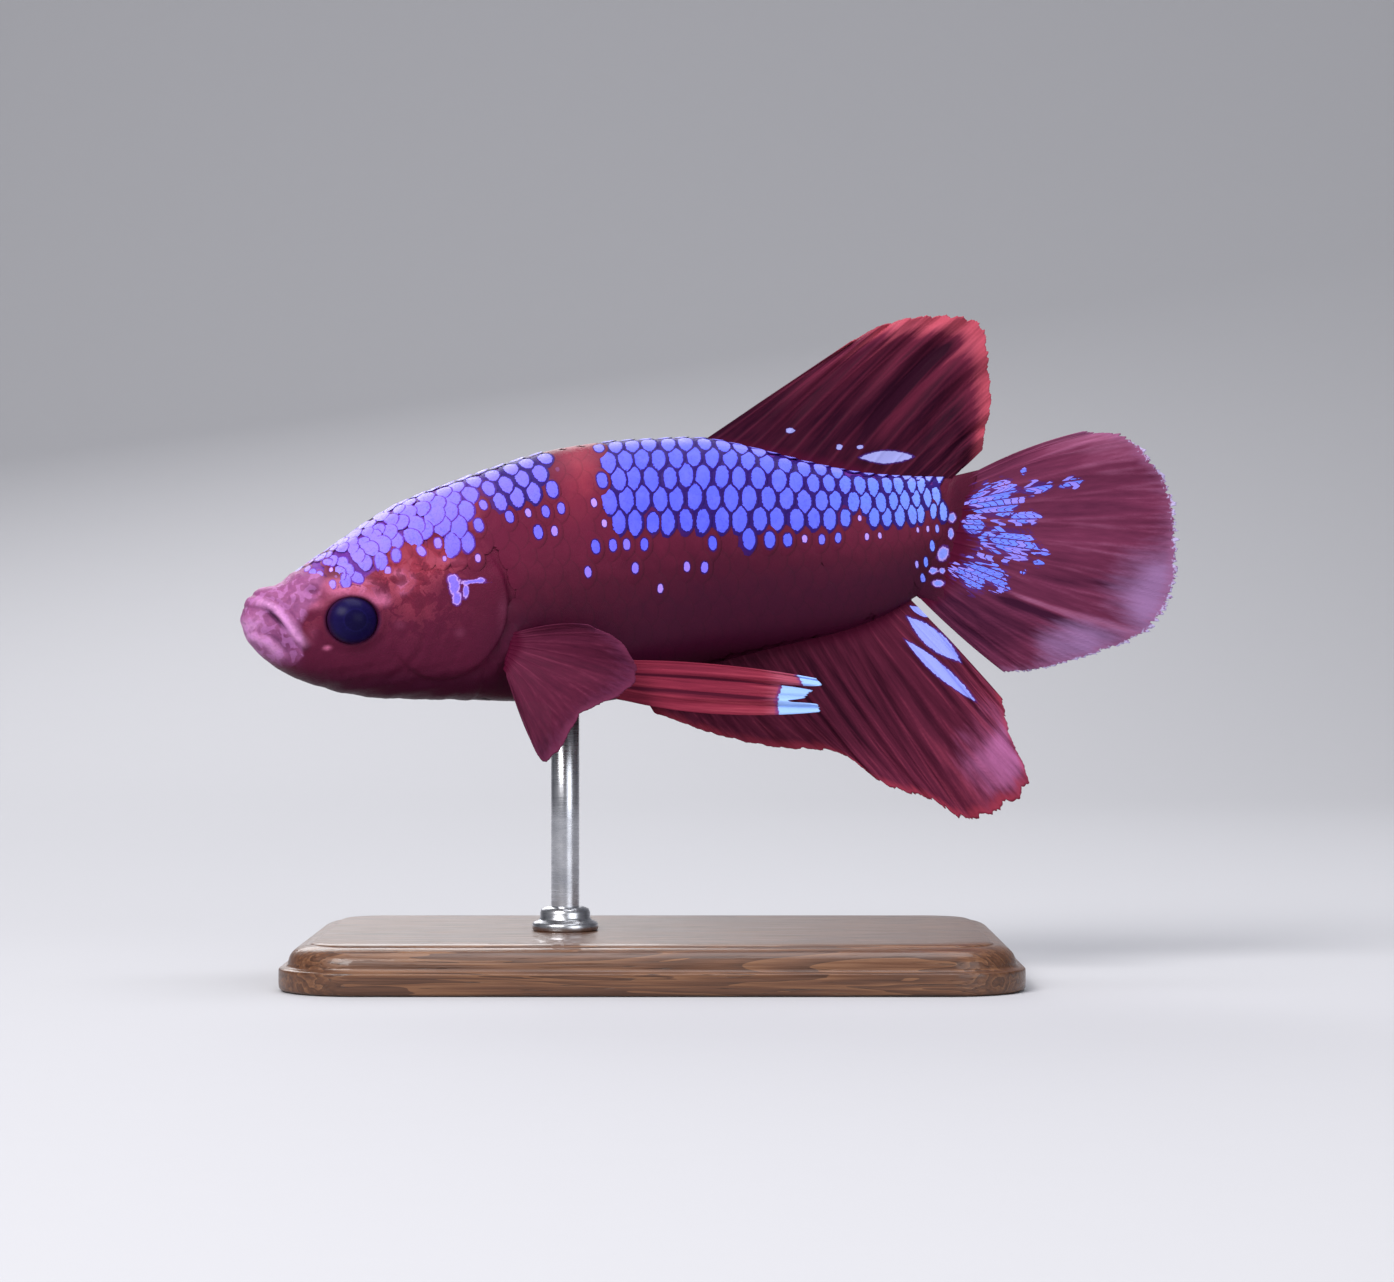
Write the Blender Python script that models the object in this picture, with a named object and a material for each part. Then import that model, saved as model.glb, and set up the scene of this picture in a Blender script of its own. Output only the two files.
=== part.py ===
"""A life-size model of a short-finned betta fish, swimming nose down, on a display stand.

The body is one loft through the rings below, bent sideways so that the head turns to the
fish's left, and then parted by thin cuts. The head points to -X and the left side faces -Y.
"""

import math

import bmesh
import bpy
import numpy as np
from mathutils import Matrix

MM = 0.001  # every size below is in millimetres

RING_SIDES = 24
RING_STEPS = 36
SNOUT_CROWDING = 1.15  # above 1, the rings stand closer together at the snout
CUT = 0.2  # gap between two pieces parted from the body
FIN_CLEARANCE = 0.12  # gap between a fin and the body that it grows from

# Rings from the snout to the tail: top x, top z, bottom x, bottom z, half width,
# share of the height at which the ring is widest, and how much fuller it is above than below.
BODY_RINGS = (
    (-29.15, 23.00, -29.15, 23.00, 0.02, 0.50, 0.00),
    (-29.05, 23.76, -29.12, 22.26, 0.68, 0.50, 0.00),
    (-28.62, 24.36, -28.88, 21.54, 1.16, 0.50, 0.00),
    (-28.00, 24.66, -28.42, 20.92, 1.56, 0.50, 0.02),
    (-27.15, 24.94, -27.60, 20.16, 1.98, 0.52, 0.04),
    (-26.05, 25.90, -26.53, 19.42, 2.46, 0.54, 0.06),
    (-24.70, 26.88, -25.07, 18.81, 2.95, 0.56, 0.08),
    (-23.00, 28.10, -23.30, 18.27, 3.40, 0.56, 0.08),
    (-21.20, 29.40, -21.40, 17.95, 3.75, 0.54, 0.06),
    (-19.30, 30.48, -19.40, 17.83, 4.02, 0.52, 0.04),
    (-16.80, 31.50, -16.80, 17.78, 4.25, 0.51, 0.02),
    (-13.70, 32.65, -13.50, 17.63, 4.42, 0.50, 0.02),
    (-10.55, 33.66, -10.15, 17.54, 4.45, 0.50, 0.04),
    (-7.20, 34.26, -6.90, 17.57, 4.35, 0.51, 0.06),
    (-3.70, 34.52, -3.60, 18.35, 4.12, 0.52, 0.08),
    (-0.30, 34.56, -0.40, 19.75, 3.75, 0.53, 0.08),
    (3.10, 33.86, 2.70, 20.66, 3.28, 0.53, 0.06),
    (6.40, 33.02, 5.80, 21.40, 2.75, 0.52, 0.04),
    (9.50, 32.40, 8.60, 22.10, 2.20, 0.51, 0.02),
    (12.30, 32.16, 11.00, 23.00, 1.62, 0.50, 0.00),
    (14.30, 32.10, 12.60, 23.85, 1.15, 0.50, 0.00),
    (15.50, 32.08, 13.30, 24.25, 0.80, 0.50, 0.00),
)
REACH = 12.0  # how far the cutters run to each side of the middle plane
FAR = 40.0  # and past the ends of the fish
RING_SQUARENESS = 0.05  # swells the ring between its top, sides and bottom

HEAD_YAW = 18.0  # degrees to the left, all of it ahead of YAW_FULL_X
YAW_FULL_X = -15.0
YAW_START_X = 0.0
LENGTHWISE_SHIFT = -0.37  # brings the middle of the fish over the origin

HEAD_END = (-13.5, 3.0)  # x at mid height and lean in degrees of the cut behind the gills
TAIL_START = (7.6, -8.0)
CUT_HEIGHT = 26.0

JAW_OUTLINE = ((-31.0, 24.40), (-28.9, 23.75), (-26.3, 21.10), (-25.8, 20.4), (-26.2, 17.0), (-31.0, 17.0))
JAW_HINGE_X = -25.8
JAW_CUT = 0.35  # the mouth stands a little open

GILL_CENTRE = (-17.6, 23.5)
GILL_SIZE = (3.55, 4.35)
GILL_LEAN = 6.0
GILL_SIDES = 28
GILL_THICKNESS = 0.8
GILL_STAND_OUT = 0.12

EYE_CENTRE = (-23.25, 22.80)
EYE_LATERAL = 3.12  # from the middle of the head to the middle of the eyeball
EYE_RADII = (1.58, 1.00, 1.46)
EYE_GAP = 0.12
EYE_SIDES = 24
EYE_BANDS = 14

FIN_THICKNESS = 0.5
FIN_ACROSS = 20
FIN_ALONG = 4

# Fin rays from front to back or from top to bottom: root x and z, tip x and z, and how far
# the ray bows towards the next one, as a share of its length.
DORSAL_RAYS = (
    (-1.0, 34.0, 8.95, 40.7, 0.0),
    (1.3, 33.5, 11.0, 41.8, 0.01),
    (3.6, 32.9, 13.4, 42.35, 0.02),
    (5.9, 32.3, 15.7, 42.4, 0.03),
    (8.2, 31.8, 17.5, 41.8, 0.03),
    (10.4, 31.5, 17.9, 39.3, 0.02),
    (12.2, 31.4, 18.05, 36.8, 0.01),
    (13.8, 31.3, 17.6, 34.9, 0.0),
    (14.9, 31.4, 17.5, 33.8, 0.0),
)
ANAL_RAYS = (
    (-4.6, 18.9, -3.6, 16.9, -0.03),
    (-2.4, 19.7, 0.4, 15.5, -0.04),
    (-0.2, 20.6, 4.4, 14.65, -0.04),
    (2.0, 21.3, 8.3, 14.3, -0.04),
    (4.2, 21.8, 11.2, 12.3, -0.03),
    (6.4, 22.3, 14.2, 11.3, -0.02),
    (8.6, 22.9, 16.8, 10.05, -0.01),
    (10.2, 23.5, 20.3, 12.1, 0.0),
    (11.5, 24.1, 19.2, 15.4, 0.02),
    (12.4, 24.6, 18.7, 17.8, 0.01),
)
TAIL_RAYS = (
    (15.2, 31.35, 24.0, 35.0, 0.04),
    (15.0, 30.7, 27.0, 34.5, 0.03),
    (14.8, 29.9, 29.5, 31.5, 0.02),
    (14.6, 29.0, 30.0, 28.3, 0.0),
    (14.4, 28.1, 29.8, 24.8, 0.0),
    (14.1, 27.2, 28.2, 22.2, -0.02),
    (13.8, 26.3, 24.8, 20.7, -0.03),
    (13.5, 25.4, 21.2, 19.7, -0.03),
    (13.2, 24.5, 18.9, 19.5, -0.02),
)
# How far each of these fins curls off the middle plane at its tips.
DORSAL_CURL = 0.5
ANAL_CURL = -0.4
TAIL_CURL = 1.0
PELVIC_RAYS = (
    (-9.5, 20.2, 6.7, 19.1, 0.03),
    (-9.5, 19.7, 7.1, 18.5, 0.01),
    (-9.5, 19.2, 6.8, 17.8, -0.02),
    (-9.5, 18.7, 6.9, 17.0, -0.05),
)
PELVIC_SWEEP = (2.0, 4.3, 3.9, 3.2)  # distance from the middle plane, from root to tip
PECTORAL_RAYS = (
    (-13.6, 22.0, -9.0, 22.5, 0.06),
    (-13.7, 21.6, -6.4, 21.4, 0.04),
    (-13.8, 21.2, -5.2, 19.2, 0.02),
    (-13.9, 20.8, -7.4, 17.5, 0.0),
    (-14.0, 20.4, -9.9, 15.6, -0.02),
    (-14.0, 20.0, -12.3, 14.0, -0.04),
    (-14.1, 19.7, -13.6, 16.5, -0.06),
)
PECTORAL_SWEEP = (3.9, 5.3, 6.2, 6.7)
PECTORAL_LIFTS = {"left": 0.0, "right": 50.0}  # degrees that the fan is turned up at its root

BASE_LENGTH = 46.0
BASE_WIDTH = 30.0
BASE_HEIGHT = 3.0
BASE_CORNER = 5.0
BASE_CORNER_STEPS = 6
BASE_BEVEL = 0.5
BASE_X = -4.0
ROD_X = -9.3
ROD_RADIUS = 0.9
ROD_DEPTH = 2.0  # how far the rod goes into the base and into the belly
ROD_FIT = 0.15
ROD_SIDES = 24
COLLAR_RADIUS = 2.1
COLLAR_HEIGHT = 1.4
COLLAR_BEVEL = 0.3
COLLAR_SIDES = 32

FINISHES = {
    "flesh": ((0.09, 0.012, 0.045), 0.38, 0.0),
    "muzzle": ((0.45, 0.14, 0.36), 0.42, 0.0),
    "fin": ((0.11, 0.016, 0.045), 0.35, 0.0),
    "eye": ((0.010, 0.006, 0.035), 0.06, 0.0),
    "wood": ((0.085, 0.040, 0.020), 0.40, 0.0),
    "steel": ((0.62, 0.62, 0.64), 0.25, 1.0),
}


def clear_scene():
    for obj in list(bpy.data.objects):
        bpy.data.objects.remove(obj, do_unlink=True)


def make_material(name):
    colour, roughness, metallic = FINISHES[name]
    material = bpy.data.materials.new(name)
    material.use_nodes = True
    shader = material.node_tree.nodes["Principled BSDF"]
    shader.inputs["Base Color"].default_value = (*colour, 1.0)
    shader.inputs["Roughness"].default_value = roughness
    shader.inputs["Metallic"].default_value = metallic
    return material


def add_object(name, bm, material=None):
    """Turn the bmesh, in millimetres, into an object in metres."""
    bmesh.ops.recalc_face_normals(bm, faces=bm.faces)
    bmesh.ops.scale(bm, vec=(MM, MM, MM), verts=bm.verts)
    mesh = bpy.data.meshes.new(name)
    bm.to_mesh(mesh)
    bm.free()
    obj = bpy.data.objects.new(name, mesh)
    bpy.context.scene.collection.objects.link(obj)
    if material:
        mesh.materials.append(material)
        mesh.shade_smooth()
        mesh.set_sharp_from_angle(angle=math.radians(35))
    return obj


def add_cutter(name, bm):
    obj = add_object(name, bm)
    obj.hide_render = True
    obj.display_type = "WIRE"
    return obj


def add_boolean(obj, operation, cutter):
    modifier = obj.modifiers.new(f"{operation.lower()} {cutter.name}", "BOOLEAN")
    modifier.operation = operation
    modifier.solver = "EXACT"
    modifier.object = cutter


def through_rows(rows, u):
    """Read a table at u from 0 to 1 on a Catmull-Rom curve through its rows."""
    table = np.asarray(rows, float)
    table = np.vstack([2 * table[0] - table[1], table, 2 * table[-1] - table[-2]])
    place = u * (len(rows) - 1)
    first = min(int(place), len(rows) - 2)
    t = place - first
    a, b, c, d = table[first : first + 4]
    return b + 0.5 * t * (c - a + t * (2 * a - 5 * b + 4 * c - d + t * (3 * b - a - 3 * c + d)))


def spine_bend(x):
    """Sideways place of the middle plane at x, and its angle there."""
    span = YAW_START_X - YAW_FULL_X
    slope = math.tan(math.radians(HEAD_YAW))
    t = min(max((YAW_START_X - x) / span, 0.0), 1.0)
    curved = span * (t**3 - t**4 / 2)
    straight = max(YAW_FULL_X - x, 0.0)
    return -slope * (curved + straight), math.atan(slope * (3 * t**2 - 2 * t**3))


def bent(x, y, z):
    """Move a point of the straight fish to its place in the bent one."""
    middle, angle = spine_bend(x)
    return (x + LENGTHWISE_SHIFT - y * math.sin(angle), middle + y * math.cos(angle), z)


def body_point(u, turn, grow=0.0):
    """A point of the body's surface: u from snout to tail, turn from the top over the right side."""
    top_x, top_z, low_x, low_z, half_width, widest, fuller = through_rows(BODY_RINGS, u)
    grow = max(grow, -half_width / 2)
    top_z += grow
    low_z -= grow
    side_x = low_x + (top_x - low_x) * widest
    side_z = low_z + (top_z - low_z) * widest
    up = math.cos(turn)
    swell = 1 + RING_SQUARENESS * math.sin(2 * turn) ** 2
    reach_x, reach_z = (top_x - side_x, top_z - side_z) if up > 0 else (side_x - low_x, side_z - low_z)
    x = side_x + reach_x * up * swell + grow * (2 * u - 1)
    z = side_z + reach_z * up * swell
    y = (half_width + grow) * math.sin(turn) * (1 + fuller * up) * swell
    return bent(x, y, z)


def body_bmesh(grow=0.0):
    """The whole body as one closed loft, its skin moved out by grow."""
    bm = bmesh.new()
    rings = []
    for step in range(1, RING_STEPS + 1):
        u = (step / RING_STEPS) ** SNOUT_CROWDING
        turns = [2 * math.pi * side / RING_SIDES for side in range(RING_SIDES)]
        rings.append([bm.verts.new(body_point(u, turn, grow)) for turn in turns])
    snout = bm.verts.new(body_point(0.0, 0.0))
    for side in range(RING_SIDES):
        after = (side + 1) % RING_SIDES
        bm.faces.new((snout, rings[0][side], rings[0][after]))
        for ring, following in zip(rings, rings[1:]):
            bm.faces.new((ring[side], following[side], following[after], ring[after]))
    bm.faces.new(rings[-1])
    return bm


def prism_bmesh(outline, home, near, far):
    """A side-view outline extruded straight across the fish, square to its spine at x = home."""
    _, angle = spine_bend(home)
    bm = bmesh.new()
    faces = []
    for y in (near, far):
        start_x, start_y, _ = bent(home, y, 0.0)
        corners = [
            (start_x + x - home, start_y + (x - home) * math.tan(angle), z)
            for x, z in outline
        ]
        faces.append(bm.faces.new([bm.verts.new(corner) for corner in corners]))
    bmesh.ops.bridge_loops(bm, edges=[*faces[0].edges, *faces[1].edges])
    return bm


def beyond_outline(cut, towards, gap):
    """The outline of all that lies past a leaning cut, given as x at mid height and lean."""
    x, lean = cut
    reach = CUT_HEIGHT * math.tan(math.radians(lean))
    near_x = x + towards * gap
    far_x = near_x + towards * FAR
    return ((near_x - reach, 0.0), (far_x, 0.0), (far_x, 2 * CUT_HEIGHT), (near_x + reach, 2 * CUT_HEIGHT))


def ellipse_outline(centre, size, lean, sides):
    points = []
    for side in range(sides):
        angle = 2 * math.pi * side / sides
        x, z = size[0] * math.cos(angle), size[1] * math.sin(angle)
        tilt = math.radians(lean)
        points.append((
            centre[0] + x * math.cos(tilt) + z * math.sin(tilt),
            centre[1] + z * math.cos(tilt) - x * math.sin(tilt),
        ))
    return points


def grown_outline(outline, amount):
    """Push each corner away from the outline's middle by the amount."""
    points = np.asarray(outline, float)
    away = points - points.mean(axis=0)
    return points + away / np.linalg.norm(away, axis=1, keepdims=True) * amount


def eye_bmesh(side, grow=0.0):
    """One eyeball, a flattened sphere that faces straight out of the turned head."""
    _, angle = spine_bend(EYE_CENTRE[0])
    place = bent(EYE_CENTRE[0], side * EYE_LATERAL, EYE_CENTRE[1])
    bm = bmesh.new()
    bmesh.ops.create_uvsphere(bm, u_segments=EYE_SIDES, v_segments=EYE_BANDS, radius=1.0)
    bmesh.ops.rotate(bm, matrix=Matrix.Rotation(math.pi / 2, 3, "X"), verts=bm.verts)
    bmesh.ops.scale(bm, vec=[radius + grow for radius in EYE_RADII], verts=bm.verts)
    bmesh.ops.rotate(bm, matrix=Matrix.Rotation(angle, 3, "Z"), verts=bm.verts)
    bmesh.ops.translate(bm, vec=place, verts=bm.verts)
    return bm


def fin_bmesh(rays, lateral):
    """A closed web of even thickness over a fan of rays; lateral gives its place across the fish."""
    bm = bmesh.new()
    faces = {-1: [], 1: []}
    for column in range(FIN_ACROSS + 1):
        root_x, root_z, tip_x, tip_z, bow = through_rows(rays, column / FIN_ACROSS)
        for face, grid in faces.items():
            line = []
            for row in range(FIN_ALONG + 1):
                t = row / FIN_ALONG
                side_step = 4 * bow * t * (1 - t)
                x = root_x + (tip_x - root_x) * t - (tip_z - root_z) * side_step
                z = root_z + (tip_z - root_z) * t + (tip_x - root_x) * side_step
                y = lateral(column / FIN_ACROSS, t) + face * FIN_THICKNESS / 2
                line.append(bm.verts.new(bent(x, y, z)))
            grid.append(line)
    for grid in faces.values():
        for line, following in zip(grid, grid[1:]):
            for row in range(FIN_ALONG):
                bm.faces.new((line[row], line[row + 1], following[row + 1], following[row]))
    rims = {face: fin_rim(grid) for face, grid in faces.items()}
    count = len(rims[1])
    for place in range(count):
        after = (place + 1) % count
        bm.faces.new((rims[1][place], rims[1][after], rims[-1][after], rims[-1][place]))
    return bm


def fin_rim(grid):
    """The vertices round a fin's edge, in order."""
    front = grid[0]
    back = grid[-1][::-1]
    tips = [line[-1] for line in grid[1:-1]]
    roots = [line[0] for line in grid[1:-1]]
    return front + tips + back + roots[::-1]


def lifted_rays(rays, degrees):
    """The same fan with each ray turned up about its own root."""
    turn_cos, turn_sin = math.cos(math.radians(degrees)), math.sin(math.radians(degrees))
    return [
        (
            root_x,
            root_z,
            root_x + (tip_x - root_x) * turn_cos - (tip_z - root_z) * turn_sin,
            root_z + (tip_z - root_z) * turn_cos + (tip_x - root_x) * turn_sin,
            bow,
        )
        for root_x, root_z, tip_x, tip_z, bow in rays
    ]


def add_fin(name, rays, lateral, clearance, material):
    fin = add_object(name, fin_bmesh(rays, lateral), material)
    add_boolean(fin, "DIFFERENCE", clearance)
    return fin


def build_body(flesh, muzzle):
    """The head, jaw, gill covers, trunk and tail stalk, all parted from copies of one body."""

    def side_of(name, cut, towards, gap):
        outline = beyond_outline(cut, towards, gap)
        return add_cutter(name, prism_bmesh(outline, cut[0], -REACH, REACH))

    pieces = {name: add_object(name, body_bmesh(), flesh) for name in ("head", "trunk", "tail_stalk")}
    add_boolean(pieces["head"], "INTERSECT", side_of("ahead_of_gills", HEAD_END, -1, CUT / 2))
    add_boolean(pieces["trunk"], "DIFFERENCE", side_of("off_trunk_front", HEAD_END, -1, -CUT / 2))
    add_boolean(pieces["trunk"], "DIFFERENCE", side_of("off_trunk_back", TAIL_START, 1, -CUT / 2))
    add_boolean(pieces["tail_stalk"], "INTERSECT", side_of("behind_trunk", TAIL_START, 1, CUT / 2))

    wider_jaw = grown_outline(JAW_OUTLINE, JAW_CUT)
    jaw_zone = add_cutter("zone_jaw", prism_bmesh(JAW_OUTLINE, JAW_HINGE_X, -REACH, REACH))
    jaw_gap = add_cutter("gap_jaw", prism_bmesh(wider_jaw, JAW_HINGE_X, -REACH, REACH))
    jaw = add_object("lower_jaw", body_bmesh(), muzzle)
    add_boolean(jaw, "INTERSECT", jaw_zone)
    add_boolean(pieces["head"], "DIFFERENCE", jaw_gap)

    core = add_cutter("gill_core", body_bmesh(-GILL_THICKNESS))
    pocket_size = [radius + CUT for radius in GILL_SIZE]
    pocket_outline = ellipse_outline(GILL_CENTRE, pocket_size, GILL_LEAN, GILL_SIDES)
    pocket_core = add_cutter("gill_pocket_core", body_bmesh(-GILL_THICKNESS - CUT))
    pocket = add_cutter("gill_pocket", prism_bmesh(pocket_outline, GILL_CENTRE[0], -REACH, REACH))
    add_boolean(pocket, "DIFFERENCE", pocket_core)
    add_boolean(pieces["head"], "DIFFERENCE", pocket)
    outline = ellipse_outline(GILL_CENTRE, GILL_SIZE, GILL_LEAN, GILL_SIDES)
    for name, side in (("left", -1), ("right", 1)):
        zone = add_cutter(f"zone_gill_{name}", prism_bmesh(outline, GILL_CENTRE[0], 0, side * REACH))
        cover = add_object(f"gill_cover_{name}", body_bmesh(GILL_STAND_OUT), flesh)
        add_boolean(cover, "INTERSECT", zone)
        add_boolean(cover, "DIFFERENCE", core)
    return pieces


def build_eyes(head, material):
    for name, side in (("left", -1), ("right", 1)):
        add_object(f"eye_{name}", eye_bmesh(side), material)
        socket = add_cutter(f"socket_{name}", eye_bmesh(side, EYE_GAP))
        add_boolean(head, "DIFFERENCE", socket)


def build_fins(material):
    clearance = add_cutter("fin_clearance", body_bmesh(FIN_CLEARANCE))

    def swept(distances, side):
        rows = [(distance,) for distance in distances]
        return lambda across, t: side * through_rows(rows, t)[0]

    add_fin("dorsal_fin", DORSAL_RAYS, lambda across, t: DORSAL_CURL * t**2, clearance, material)
    add_fin("anal_fin", ANAL_RAYS, lambda across, t: ANAL_CURL * t**2, clearance, material)
    add_fin("tail_fin", TAIL_RAYS, lambda across, t: TAIL_CURL * t**2, clearance, material)
    for name, side in (("left", -1), ("right", 1)):
        add_fin(f"pelvic_fin_{name}", PELVIC_RAYS, swept(PELVIC_SWEEP, side), clearance, material)
        pectoral = lifted_rays(PECTORAL_RAYS, PECTORAL_LIFTS[name])
        add_fin(f"pectoral_fin_{name}", pectoral, swept(PECTORAL_SWEEP, side), clearance, material)


def base_bmesh():
    """A plate with rounded corners and a softened upper rim."""
    half_x, half_y = BASE_LENGTH / 2 - BASE_CORNER, BASE_WIDTH / 2 - BASE_CORNER
    bm = bmesh.new()
    verts = []
    for quarter, (sx, sy) in enumerate(((1, 1), (-1, 1), (-1, -1), (1, -1))):
        for step in range(BASE_CORNER_STEPS + 1):
            angle = (quarter + step / BASE_CORNER_STEPS) * math.pi / 2
            x = BASE_X + sx * half_x + BASE_CORNER * math.cos(angle)
            y = sy * half_y + BASE_CORNER * math.sin(angle)
            verts.append(bm.verts.new((x, y, 0.0)))
    face = bm.faces.new(verts)
    pushed = bmesh.ops.extrude_face_region(bm, geom=[face])["geom"]
    top = [item for item in pushed if isinstance(item, bmesh.types.BMVert)]
    bmesh.ops.translate(bm, vec=(0, 0, BASE_HEIGHT), verts=top)
    rim = [edge for edge in bm.edges if all(vert in top for vert in edge.verts)]
    bmesh.ops.bevel(bm, geom=rim, offset=BASE_BEVEL, segments=3, profile=0.5, affect="EDGES")
    return bm


def upright_bmesh(radius, bottom, top, sides=ROD_SIDES):
    """A cylinder on the rod's axis."""
    bm = bmesh.new()
    bmesh.ops.create_cone(
        bm, cap_ends=True, segments=sides, radius1=radius, radius2=radius, depth=top - bottom
    )
    bmesh.ops.translate(bm, vec=bent(ROD_X, 0.0, (top + bottom) / 2), verts=bm.verts)
    return bm


def belly_height():
    """The lowest point of the body over the rod."""
    lows = [body_point(u, math.pi) for u in np.linspace(0, 1, 400)]
    rod_x = bent(ROD_X, 0.0, 0.0)[0]
    return min(lows, key=lambda point: abs(point[0] - rod_x))[2]


def build_stand(trunk, wood, steel):
    belly = belly_height()
    hole_top = belly + ROD_DEPTH + ROD_FIT
    hole_foot = BASE_HEIGHT - ROD_DEPTH - ROD_FIT
    base_bore = add_cutter("bore_base", upright_bmesh(ROD_RADIUS + ROD_FIT, hole_foot, belly))
    belly_bore = add_cutter("bore_belly", upright_bmesh(ROD_RADIUS + ROD_FIT, BASE_HEIGHT, hole_top))
    base = add_object("stand_base", base_bmesh(), wood)
    add_boolean(base, "DIFFERENCE", base_bore)
    add_boolean(trunk, "DIFFERENCE", belly_bore)
    collar_foot = BASE_HEIGHT + ROD_FIT
    collar_top = collar_foot + COLLAR_HEIGHT
    collar = upright_bmesh(COLLAR_RADIUS, collar_foot, collar_top, COLLAR_SIDES)
    rim = [edge for edge in collar.edges if all(vert.co.z > collar_top - MM for vert in edge.verts)]
    bmesh.ops.bevel(collar, geom=rim, offset=COLLAR_BEVEL, segments=3, profile=0.5, affect="EDGES")
    collar = add_object("stand_collar", collar, steel)
    add_boolean(collar, "DIFFERENCE", base_bore)
    add_object("stand_rod", upright_bmesh(ROD_RADIUS, BASE_HEIGHT - ROD_DEPTH, belly + ROD_DEPTH), steel)


def main():
    clear_scene()
    materials = {name: make_material(name) for name in FINISHES}
    pieces = build_body(materials["flesh"], materials["muzzle"])
    build_eyes(pieces["head"], materials["eye"])
    build_fins(materials["fin"])
    build_stand(pieces["trunk"], materials["wood"], materials["steel"])


main()
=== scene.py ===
import math

import bpy
import numpy as np
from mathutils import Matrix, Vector


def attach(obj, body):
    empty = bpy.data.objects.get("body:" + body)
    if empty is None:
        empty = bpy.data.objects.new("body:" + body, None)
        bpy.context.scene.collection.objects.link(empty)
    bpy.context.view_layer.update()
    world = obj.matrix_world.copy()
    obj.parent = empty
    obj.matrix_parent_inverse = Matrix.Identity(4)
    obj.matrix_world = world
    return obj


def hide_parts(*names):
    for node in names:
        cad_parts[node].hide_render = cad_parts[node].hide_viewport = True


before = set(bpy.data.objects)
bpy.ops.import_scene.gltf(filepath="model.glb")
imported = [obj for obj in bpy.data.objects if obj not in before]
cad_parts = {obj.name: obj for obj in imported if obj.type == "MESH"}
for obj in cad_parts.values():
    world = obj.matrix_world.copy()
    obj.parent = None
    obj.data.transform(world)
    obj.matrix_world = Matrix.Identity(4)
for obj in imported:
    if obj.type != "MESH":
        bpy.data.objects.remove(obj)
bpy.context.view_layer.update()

mm = 0.001  # the tables below are in millimetres, in the straight fish before its head is turned

body = {
    # rings from the snout to the tail: top x, top z, bottom x, bottom z, half width,
    # share of the height where the ring is widest, how much fuller it is above than below
    "rings": (
        (-29.15, 23.00, -29.15, 23.00, 0.02, 0.50, 0.00),
        (-29.05, 23.76, -29.12, 22.26, 0.68, 0.50, 0.00),
        (-28.62, 24.36, -28.88, 21.54, 1.16, 0.50, 0.00),
        (-28.00, 24.66, -28.42, 20.92, 1.56, 0.50, 0.02),
        (-27.15, 24.94, -27.60, 20.16, 1.98, 0.52, 0.04),
        (-26.05, 25.90, -26.53, 19.42, 2.46, 0.54, 0.06),
        (-24.70, 26.88, -25.07, 18.81, 2.95, 0.56, 0.08),
        (-23.00, 28.10, -23.30, 18.27, 3.40, 0.56, 0.08),
        (-21.20, 29.40, -21.40, 17.95, 3.75, 0.54, 0.06),
        (-19.30, 30.48, -19.40, 17.83, 4.02, 0.52, 0.04),
        (-16.80, 31.50, -16.80, 17.78, 4.25, 0.51, 0.02),
        (-13.70, 32.65, -13.50, 17.63, 4.42, 0.50, 0.02),
        (-10.55, 33.66, -10.15, 17.54, 4.45, 0.50, 0.04),
        (-7.20, 34.26, -6.90, 17.57, 4.35, 0.51, 0.06),
        (-3.70, 34.52, -3.60, 18.35, 4.12, 0.52, 0.08),
        (-0.30, 34.56, -0.40, 19.75, 3.75, 0.53, 0.08),
        (3.10, 33.86, 2.70, 20.66, 3.28, 0.53, 0.06),
        (6.40, 33.02, 5.80, 21.40, 2.75, 0.52, 0.04),
        (9.50, 32.40, 8.60, 22.10, 2.20, 0.51, 0.02),
        (12.30, 32.16, 11.00, 23.00, 1.62, 0.50, 0.00),
        (14.30, 32.10, 12.60, 23.85, 1.15, 0.50, 0.00),
        (15.50, 32.08, 13.30, 24.25, 0.80, 0.50, 0.00),
    ),
    "squareness": 0.05,
    "headYaw": 18.0,  # degrees to the fish's left, all of it ahead of yawFullX
    "yawFullX": -15.0,
    "yawStartX": 0.0,
    "shiftX": -0.37,
    "coatDepth": 0.14,  # how far the skin lies under the scales
    "rowsAlong": 384,
    "columnsAround": 240,
    "rowCrowding": ((0.0, 0.0), (0.27, 0.2), (0.70, 0.52), (1.0, 1.0)),  # share of rows, place
    "stalkRows": 14,  # the flesh that runs out over the tail fin's root
    "stalkReach": 1.7,
    "stalkWidth": 0.82,  # of the last ring's
    "stalkFlare": 0.10,  # how much it spreads away from its middle height
    "stalkMiddle": 28.1,
}

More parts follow.
